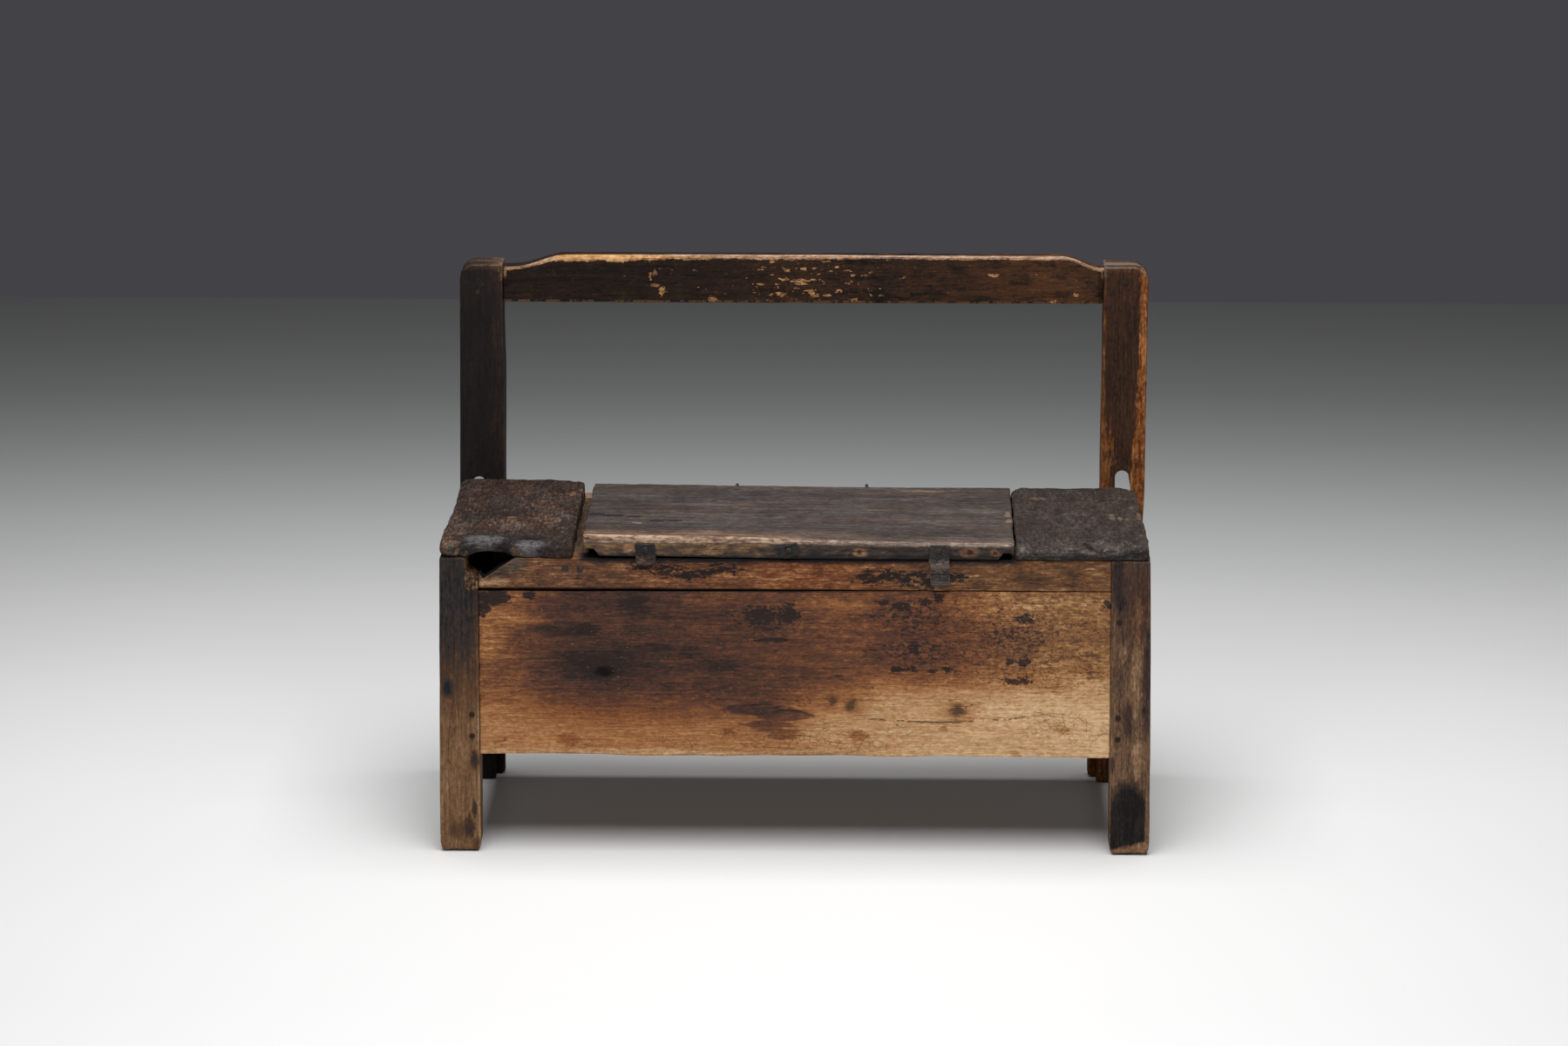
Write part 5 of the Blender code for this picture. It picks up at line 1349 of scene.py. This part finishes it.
def seat_board(side, seed, material):
    name = f"{side}_seat_board"
    sign = SIGNS[side]
    low, high = box_of(name)

    def wear(x, y, z):
        front = ramp_up(-y, 0.165, 0.180)
        if side == "right":
            return BOARD_WEAR * front * ramp_up(z, 0.444, 0.452)
        roll = bump_at(x, BOARD_ARCH_X - 0.010, 0.034) + 0.8 * bump_at(x, -0.368, 0.022)
        corner = ramp_up(-x, 0.470, 0.486)
        return (BOARD_WEAR + ROLL_WEAR * roll + CORNER_WEAR * corner) * front

    points, rest, faces, edge = worn_box(low, high, "x", seed, 0.0034, 0.0013, wear)
    x, y, z = rest.T
    lumps = BOARD_LUMPS * field(rest, (0.013, 0.013, 0.1), seed + 21)
    points[:, 2] += lumps + BOARD_CRUMBS * field(rest, (0.006, 0.006, 0.1), seed + 23)
    up = share_of(z, low[2], high[2])
    wave = BOARD_BACK_WAVE * field(rest * (1, 0, 0), (0.030, 1, 1), seed + 9)
    points[:, 1] += wave * ramp_up(y, 0.10, 0.14)
    if side == "right":
        dish = ramp_up(-y, 0.146, 0.190) * (1 - ramp_up(x, 0.456, 0.470))
        lumps = DISH_LUMPS * field(rest, (0.016, 0.012, 1), seed + 11)
        points[:, 2] -= (DISH_DEPTH + lumps) * dish * up
        points[:, 2] -= BOARD_SAG * up * ramp_up(y, -0.02, 0.13)
    else:
        front = ramp_up(-y, 0.145, 0.186)
        arch = bump_at(x, BOARD_ARCH_X - 0.006, BOARD_ARCH_HALF + 0.004)
        reach = ramp_up(-y, BOARD_ARCH_BACK - BOARD_ARCH_SLOPE, BOARD_ARCH_BACK + BOARD_ARCH_SLOPE)
        points[:, 2] += ARCH_WORN * arch * reach * (1 - up)
        points[:, 1] += ROLL_SETBACK * arch * front
        crease = bell(x, -0.391, 0.006) + 0.8 * bell(x, -0.470, 0.007)
        points[:, 2] -= CREASE_DEPTH * crease * up * front
        points[:, 1] += CREASE_SETBACK * crease * front
        points[:, 2] -= LIP_FALL * ramp_up(x, -0.395, -0.380) * up * front
        points[:, 2] += BOARD_WARP * up * ramp_up(y, -0.06, 0.13)
        near = np.hypot((x - KNOB_X) / KNOB_RADII[0], (z - KNOB_Z) / KNOB_RADII[1])
        knob = KNOB_HEIGHT * np.sqrt(np.clip(1 - near ** 2, 0, 1))
        knob -= KNOB_MOAT * bell(near, 1.15, 0.25)
        points[:, 1] -= knob * ramp_up(-y, 0.178, 0.186)
        points[:, 1] -= BACK_TAB * bell(x, -0.325, 0.006) * ramp_up(y, 0.12, 0.14)
    outer = ramp_up(sign * x, 0.46, 0.49) * ramp_up(-y, -0.04, 0.17)
    points[:, 0] += sign * BOARD_REACHES[side] * outer
    for end, corner_x in ((-1, low[0] + BOARD_ROUND), (1, high[0] - BOARD_ROUND)):
        round_corner(points, "xy", (corner_x, high[1] - BOARD_ROUND), (end, 1))
    piece = add_piece(f"worn_{name}", points, faces, edge, material)
    stand_for(piece, name, "frame")


CREST_LOW, CREST_HIGH = box_of("crest_rail")
CREST_RISE = 0.014
CREST_TOP = CREST_HIGH[2] - CREST_RISE
CREST_MIDDLE = (CREST_LOW[1] + CREST_HIGH[1]) / 2
CREST_SWELL = 0.0172
CREST_LEFT_RAMP = (-0.4260, -0.3400)
CREST_RIGHT_RAMP = (-0.4350, -0.3775)
CREST_WEAR = 0.0025
CREST_TENON = 0.018
POST_INNER = box_of("rear_right_post")[0][0]
POST_TOP_ROUND = 0.022
TENON_ROUND = POST_TOP_ROUND - 0.0055
POST_BEND = (0.30, 0.46)
POST_SHIFTS = {"left": 0.0052, "right": 0.0026}
POST_SHIFT_ENDS = (0.25, 0.425)
POST_LEAN = 0.0048
POST_KICK = 0.0085
KICK_HEIGHTS = (0.03, 0.14)
POST_WIDER = {"left": 0.0028, "right": 0.0020}
POST_WEAR = 0.0022
FIT = 0.0003


def lean_in(points):
    """Sets both posts and what they carry a little to the right above the seat.

    The left one leans too.
    """
    x, _, z = points.T
    bend = ramp_up(z, *POST_BEND)
    lean = np.clip(share_of(z, POST_BEND[1], CREST_HIGH[2]), 0, 1)
    left = (POST_SHIFTS["left"] * bend + POST_LEAN * lean) * ramp_up(-x, *POST_SHIFT_ENDS)
    points[:, 0] += left + POST_SHIFTS["right"] * bend * ramp_up(x, *POST_SHIFT_ENDS)


def crest_rail(material):
    shoulder = POST_INNER - FIT
    low = np.array([-shoulder, CREST_LOW[1], CREST_LOW[2]])
    high = np.array([shoulder, CREST_HIGH[1], CREST_TOP])

    def wear(x, y, z):
        return CREST_WEAR * ramp_up(z, 0.755, 0.770)

    points, rest, faces, edge = worn_box(low, high, "x", 53, 0.0022, 0.0006, wear)
    x, _, z = rest.T
    swell = ramp_up(x, *CREST_LEFT_RAMP) * ramp_up(-x, *CREST_RIGHT_RAMP)
    points[:, 2] += CREST_SWELL * swell * (z - low[2]) / (high[2] - low[2])
    lean_in(points)
    shells = [(points, faces, edge)]
    for sign in SIGNS.values():
        ends = sorted((sign * (shoulder - CUT), sign * CREST_HIGH[0]))
        low = (ends[0], CREST_MIDDLE - CREST_TENON / 2, CREST_LOW[2])
        high = (ends[1], CREST_MIDDLE + CREST_TENON / 2, CREST_TOP)
        points, _, faces, edge = worn_box(low, high, "x", 57 + sign, 0.0012, 0.0003)
        centre = (sign * (CREST_HIGH[0] - TENON_ROUND), CREST_TOP - TENON_ROUND)
        round_corner(points, "xz", centre, (sign, 1))
        lean_in(points)
        shells.append((points, faces, edge))
    piece = add_piece("worn_crest_rail", *joined(*shells), material)
    stand_for(piece, "crest_rail", "frame")


SLOT_MIDDLE = 0.47375
SLOT_HALF = 0.01255
SLOT_ARCHES = {"left": (-0.46655, 0.0105, 0.4653), "right": (0.47130, 0.0102, 0.4790)}
SLOT_SHOULDER = 0.440
SLOT_BOTTOM = 0.3747
SLOT_STEPS = 12
REBATE_WIDTH = 0.012
REBATE_DEPTH = 0.030


def rear_post(side, seed, material):
    name = f"rear_{side}_post"
    sign = SIGNS[side]
    low, high = box_of(name)

    def wear(x, y, z):
        outer = ramp_up(sign * x, 0.485, 0.496) * ramp_up(z, 0.45, 0.5)
        return foot_wear(z) + POST_WEAR * outer

    points, rest, faces, edge = worn_box(low, high, "z", seed, 0.0024, 0.0006, wear)
    x, _, z = rest.T
    outer = high[0] if side == "right" else low[0]
    centre = (outer - sign * POST_TOP_ROUND, high[2] - POST_TOP_ROUND)
    round_corner(points, "xz", centre, (sign, 1))
    wider = ramp_up(z, *POST_BEND)
    if side == "left":
        wider *= 1 - ramp_up(z, 0.60, 0.72)
    points[:, 0] += POST_WIDER[side] * wider * (x - low[0]) / (high[0] - low[0])
    lean_in(points)
    piece = add_piece(f"worn_{name}", points, faces, edge, material)
    front, back = low[1] - CUT, high[1] + CUT
    middle, half, top = SLOT_ARCHES[side]
    turns = [math.pi * step / SLOT_STEPS for step in range(SLOT_STEPS + 1)]
    arch = [
        (middle + half * math.cos(turn), top - half + half * math.sin(turn)) for turn in turns
    ]
    left, right = sign * SLOT_MIDDLE - SLOT_HALF, sign * SLOT_MIDDLE + SLOT_HALF
    slot = [
        (left, SLOT_SHOULDER), (left, SLOT_BOTTOM), (right, SLOT_BOTTOM), (right, SLOT_SHOULDER),
        *arch,
    ]
    inner = sign * (POST_INNER - CUT)
    step, top = sign * (POST_INNER + REBATE_WIDTH), LEG_TOP + FIT
    rebate = [(inner, -CUT), (step, -CUT), (step, top), (inner, top)]
    far, bottom, top = sign * (CREST_HIGH[0] + CUT), CREST_LOW[2] - FIT, high[2] + CUT
    bridle = [(inner, bottom), (far, bottom), (far, top), (inner, top)]
    half = CREST_TENON / 2 + FIT
    cut_away(piece, [
        (slot, front, back),
        (rebate, front, low[1] + REBATE_DEPTH),
        (bridle, CREST_MIDDLE - half, CREST_MIDDLE + half),
    ])
    if side == "right":
        for vertex in piece.data.vertices:
            straight = float(ramp_up(np.array(vertex.co.z), *KICK_HEIGHTS))
            vertex.co.x -= POST_KICK * (1 - straight)
    stand_for(piece, name, "frame")


STRIP_TRIM = 0.0146


def back_strip(material):
    """The strip behind the lid, its left end broken off just behind the lid's corner."""
    low, high = box_of("seat_back_strip")
    low[0] += STRIP_TRIM
    points, _, faces, edge = worn_box(low, high, "x", 103, 0.0016, 0.0004)
    piece = add_piece("worn_seat_back_strip", points, faces, edge, material)
    stand_for(piece, "seat_back_strip", "frame")


LID_BOTTOM = 0.4343
STRAP_HALF = 0.01425
SHORT_STRAP = 0.019
STRAP_BEND = 0.008
STRAP_ROUND = 0.008
STRAP_NARROWER = 0.09
STRAP_FLARE = 0.0016
STRAP_WAVE = 0.0010
FOLD_STEP = 0.0065
FOLD_WAVE = 0.0012
FOLD_DEPTH = 0.0007
ROLL_DEPTH = 0.0036


def strap(side, seed, material, curl, tilt=0.0, creases=()):
    """A stiff leather tab, flat on the lid, its loose end below bulging out in folds."""
    name = f"{side}_strap"
    low, high = box_of(name)
    middle = (low + high) / 2
    if tilt:
        low = np.array([middle[0] - STRAP_HALF, low[1], middle[2] - SHORT_STRAP / 2])
        high = np.array([middle[0] + STRAP_HALF, high[1], middle[2] + SHORT_STRAP / 2])
    points, rest, faces, edge = worn_box(low, high, "x", seed, 0.0011, 0.0003)
    x, _, z = rest.T
    middle = (low + high) / 2
    across = (x - middle[0]) / (high[0] - low[0])
    bulge = 1 - (across * 2) ** 2
    hang = ramp_up(-z, -LID_BOTTOM, -LID_BOTTOM + STRAP_BEND)
    wavy = z + FOLD_WAVE * field(rest, (0.012, 1, 0.02), seed + 9)
    folds = 0.5 + 0.5 * np.sin(wavy * 2 * math.pi / FOLD_STEP)
    points[:, 1] -= hang * (curl + 0.6 * curl * bulge + FOLD_DEPTH * folds)
    if creases:
        for upper, lower in zip((LID_BOTTOM, *creases), (*creases, low[2])):
            place = (2 * z - upper - lower) / (upper - lower)
            points[:, 1] -= ROLL_DEPTH * np.sqrt(np.clip(1 - place ** 2, 0, 1))
        points[:, 0] = high[0] - (high[0] - points[:, 0]) * (1 - STRAP_NARROWER * hang)
    points[:, 0] += STRAP_FLARE * hang * (x - middle[0]) / (high[0] - low[0])
    points[:, 0] += STRAP_WAVE * field(rest * (0, 0, 1), (1, 1, 0.012), seed + 7)
    for sign, end in ((-1, low[0]), (1, high[0])):
        round_corner(points, "xz", (end - sign * STRAP_ROUND, low[2] + STRAP_ROUND), (sign, -1))
    if tilt:
        u = points[:, 0] - middle[0]
        v = points[:, 2] - middle[2]
        points[:, 0] = middle[0] + u * math.cos(tilt) - v * math.sin(tilt)
        points[:, 2] = middle[2] + u * math.sin(tilt) + v * math.cos(tilt)
    piece = add_piece(f"worn_{name}", points, faces, edge, material)
    stand_for(piece, name, "lid")


# ---------------------------------------------------------------- stage

FLOOR_SIZE = 14.0
FLOOR_BACK = 3.38
FLOOR_SHADE_FRONT = -800
FLOOR_SHADE_BACK = 3400
FLOOR_ROUGH = 0.32
FLOOR_SHEEN = 0.12
ROOM_GLOW = (0.085, 0.085, 0.085, 1.0)
BACKDROP = (0.057, 0.055, 0.063, 1.0)


def stage():
    """Pale floor painted darker towards the back as light falloff, dark backdrop, light from above
    and in front.
    """
    left, right = -FLOOR_SIZE, FLOOR_SIZE
    corners = [
        (left, -FLOOR_SIZE, 0), (right, -FLOOR_SIZE, 0), (right, FLOOR_BACK, 0),
        (left, FLOOR_BACK, 0),
    ]
    mesh = bpy.data.meshes.new("floor")
    mesh.from_pydata(corners, [], [(0, 1, 2, 3)])
    floor = bpy.data.objects.new("floor", mesh)
    bpy.context.collection.objects.link(floor)
    f = Finish("floor_paper", "x", 50.0)
    # Painted light falloff: the floor's grey is lightest a little behind the bench and darkens
    # towards the back.
    grey = f.ramp(
        f.between(f.y, FLOOR_SHADE_FRONT, FLOOR_SHADE_BACK),
        (0.0, triple(61)), (0.13, triple(64)), (0.22, triple(67.5)), (0.324, triple(68)),
        (0.44, (62.5, 62.5, 62.8)), (0.571, (50.5, 51, 51)), (0.72, (33.2, 33.6, 33.6)),
        (0.8, (25.5, 26, 26)), (0.89, (21.2, 21.4, 21.9)), (1.0, (17.6, 17.8, 18.3)),
    )
    f.put(f.shader.inputs["Base Color"], grey)
    f.shader.inputs["Roughness"].default_value = FLOOR_ROUGH
    f.shader.inputs["Specular IOR Level"].default_value = FLOOR_SHEEN
    mesh.materials.append(f.material)

    world = bpy.data.worlds.new("studio")
    bpy.context.scene.world = world
    world.use_nodes = True
    tree = world.node_tree
    path = tree.nodes.new("ShaderNodeLightPath")
    seen = tree.nodes.new("ShaderNodeMath")
    seen.operation = "MAXIMUM"
    tree.links.new(path.outputs["Is Camera Ray"], seen.inputs[0])
    tree.links.new(path.outputs["Is Transmission Ray"], seen.inputs[1])
    mix = tree.nodes.new("ShaderNodeMix")
    mix.data_type = "RGBA"
    mix.inputs[6].default_value = ROOM_GLOW
    mix.inputs[7].default_value = BACKDROP
    tree.links.new(seen.outputs[0], mix.inputs[0])
    tree.links.new(mix.outputs[2], tree.nodes["Background"].inputs["Color"])

    add_lamp("overhead", (0.0, -1.05, 3.1), (0.0, -1.05, 0.0), (2.6, 3.3), 204.0)
    add_lamp("front", (0.0, -4.2, 1.5), (0.0, 0.0, 0.3), (3.0, 1.6), 20.0)

    camera = bpy.data.cameras.new("camera")
    camera.sensor_width = SENSOR_WIDTH
    camera.lens = FOCAL_PIXELS / PHOTO_WIDTH * SENSOR_WIDTH
    camera.clip_end = 100.0
    eye = bpy.data.objects.new("camera", camera)
    eye.location = CAMERA_PLACE
    eye.rotation_euler = (math.pi / 2 - CAMERA_PITCH, 0.0, CAMERA_YAW)
    bpy.context.collection.objects.link(eye)
    bpy.context.scene.camera = eye
    bpy.context.scene.view_settings.view_transform = "Standard"


def add_lamp(name, place, target, size, power):
    lamp = bpy.data.lights.new(name, "AREA")
    lamp.shape = "RECTANGLE"
    lamp.size, lamp.size_y = size
    lamp.energy = power
    obj = bpy.data.objects.new(name, lamp)
    obj.location = place
    obj.rotation_euler = (Vector(target) - Vector(place)).to_track_quat("-Z", "Y").to_euler()
    bpy.context.collection.objects.link(obj)


# ---------------------------------------------------------------- assembly

# The right strap's fold, in metres.
STRAP_CREASE = 0.4150

stage()
leg("left", 61, left_leg_finish())
leg("right", 67, right_leg_finish())
front_rail(rail_finish())
front_panel(panel_finish())
lid(lid_finish())
seat_board("left", 71, seat_board_finish("left_board_wood", 23.0, True))
seat_board("right", 73, seat_board_finish("right_board_wood", 26.0, False))
crest_rail(crest_finish())
rear_post("left", 79, post_finish("left"))
rear_post("right", 83, post_finish("right"))

LEFT_LEATHER = leather_finish(
    "left_strap_leather", 41.0, (0.45, 0.42, 0.41), (0.9, 0.8, 0.76), (2.2, 1.8, 1.6), rust=437.5,
)
MIDDLE_LEATHER = leather_finish(
    "middle_strap_leather", 42.0, (0.65, 0.6, 0.58), (1.25, 1.1, 1.05), (2.8, 2.3, 2.1),
)
RIGHT_LEATHER = leather_finish(
    "right_strap_leather", 43.0, (1.5, 1.18, 1.02), (3.8, 2.8, 2.33), (10.8, 8.2, 6.9),
    upper=True, crease=MM * STRAP_CREASE,
)
strap("left", 89, LEFT_LEATHER, 0.0006)
strap("middle", 97, MIDDLE_LEATHER, 0.0004, tilt=math.radians(16))
strap("right", 101, RIGHT_LEATHER, 0.0012, creases=(STRAP_CREASE,))

SIDE = plank_finish("side_wood", "y", 61.0, (3.5, 1.9, 1.3), (6.6, 3.6, 2.2), (12, 6.8, 4))
BACK = plank_finish("back_wood", "x", 62.0, (8.5, 5.2, 3.3), (15, 9.5, 6), (23, 15.5, 10.2))
INSIDE = plank_finish("inside_wood", "x", 63.0, (11, 6.8, 4), (18, 11.5, 6.8), (26, 17.5, 11))
CROSS = plank_finish("cross_wood", "y", 64.0, (3.4, 2.1, 1.3), (6.2, 3.9, 2.4), (10.5, 6.9, 4.3))
STRIP = plank_finish("strip_wood", "x", 65.0, (3.6, 2.7, 2.3), (6.2, 4.7, 4.1), (10.5, 8.5, 7.4))
back_strip(STRIP)
IRON = iron_finish()
PEG = peg_finish()
for node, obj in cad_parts.items():
    if node.endswith(("_nail", "_nail_outer", "_nail_inner", "hinge_staple", "hinge_eye")):
        obj.data.materials[0] = IRON
    elif "_peg" in node:
        obj.data.materials[0] = PEG
    elif "side_board" in node:
        obj.data.materials[0] = SIDE
    elif node in ("back_rail", "upper_back_board", "lower_back_board"):
        obj.data.materials[0] = BACK
    elif node.startswith("floor_board"):
        obj.data.materials[0] = INSIDE
    elif node.endswith("bearer"):
        obj.data.materials[0] = CROSS

bpy.context.view_layer.update()
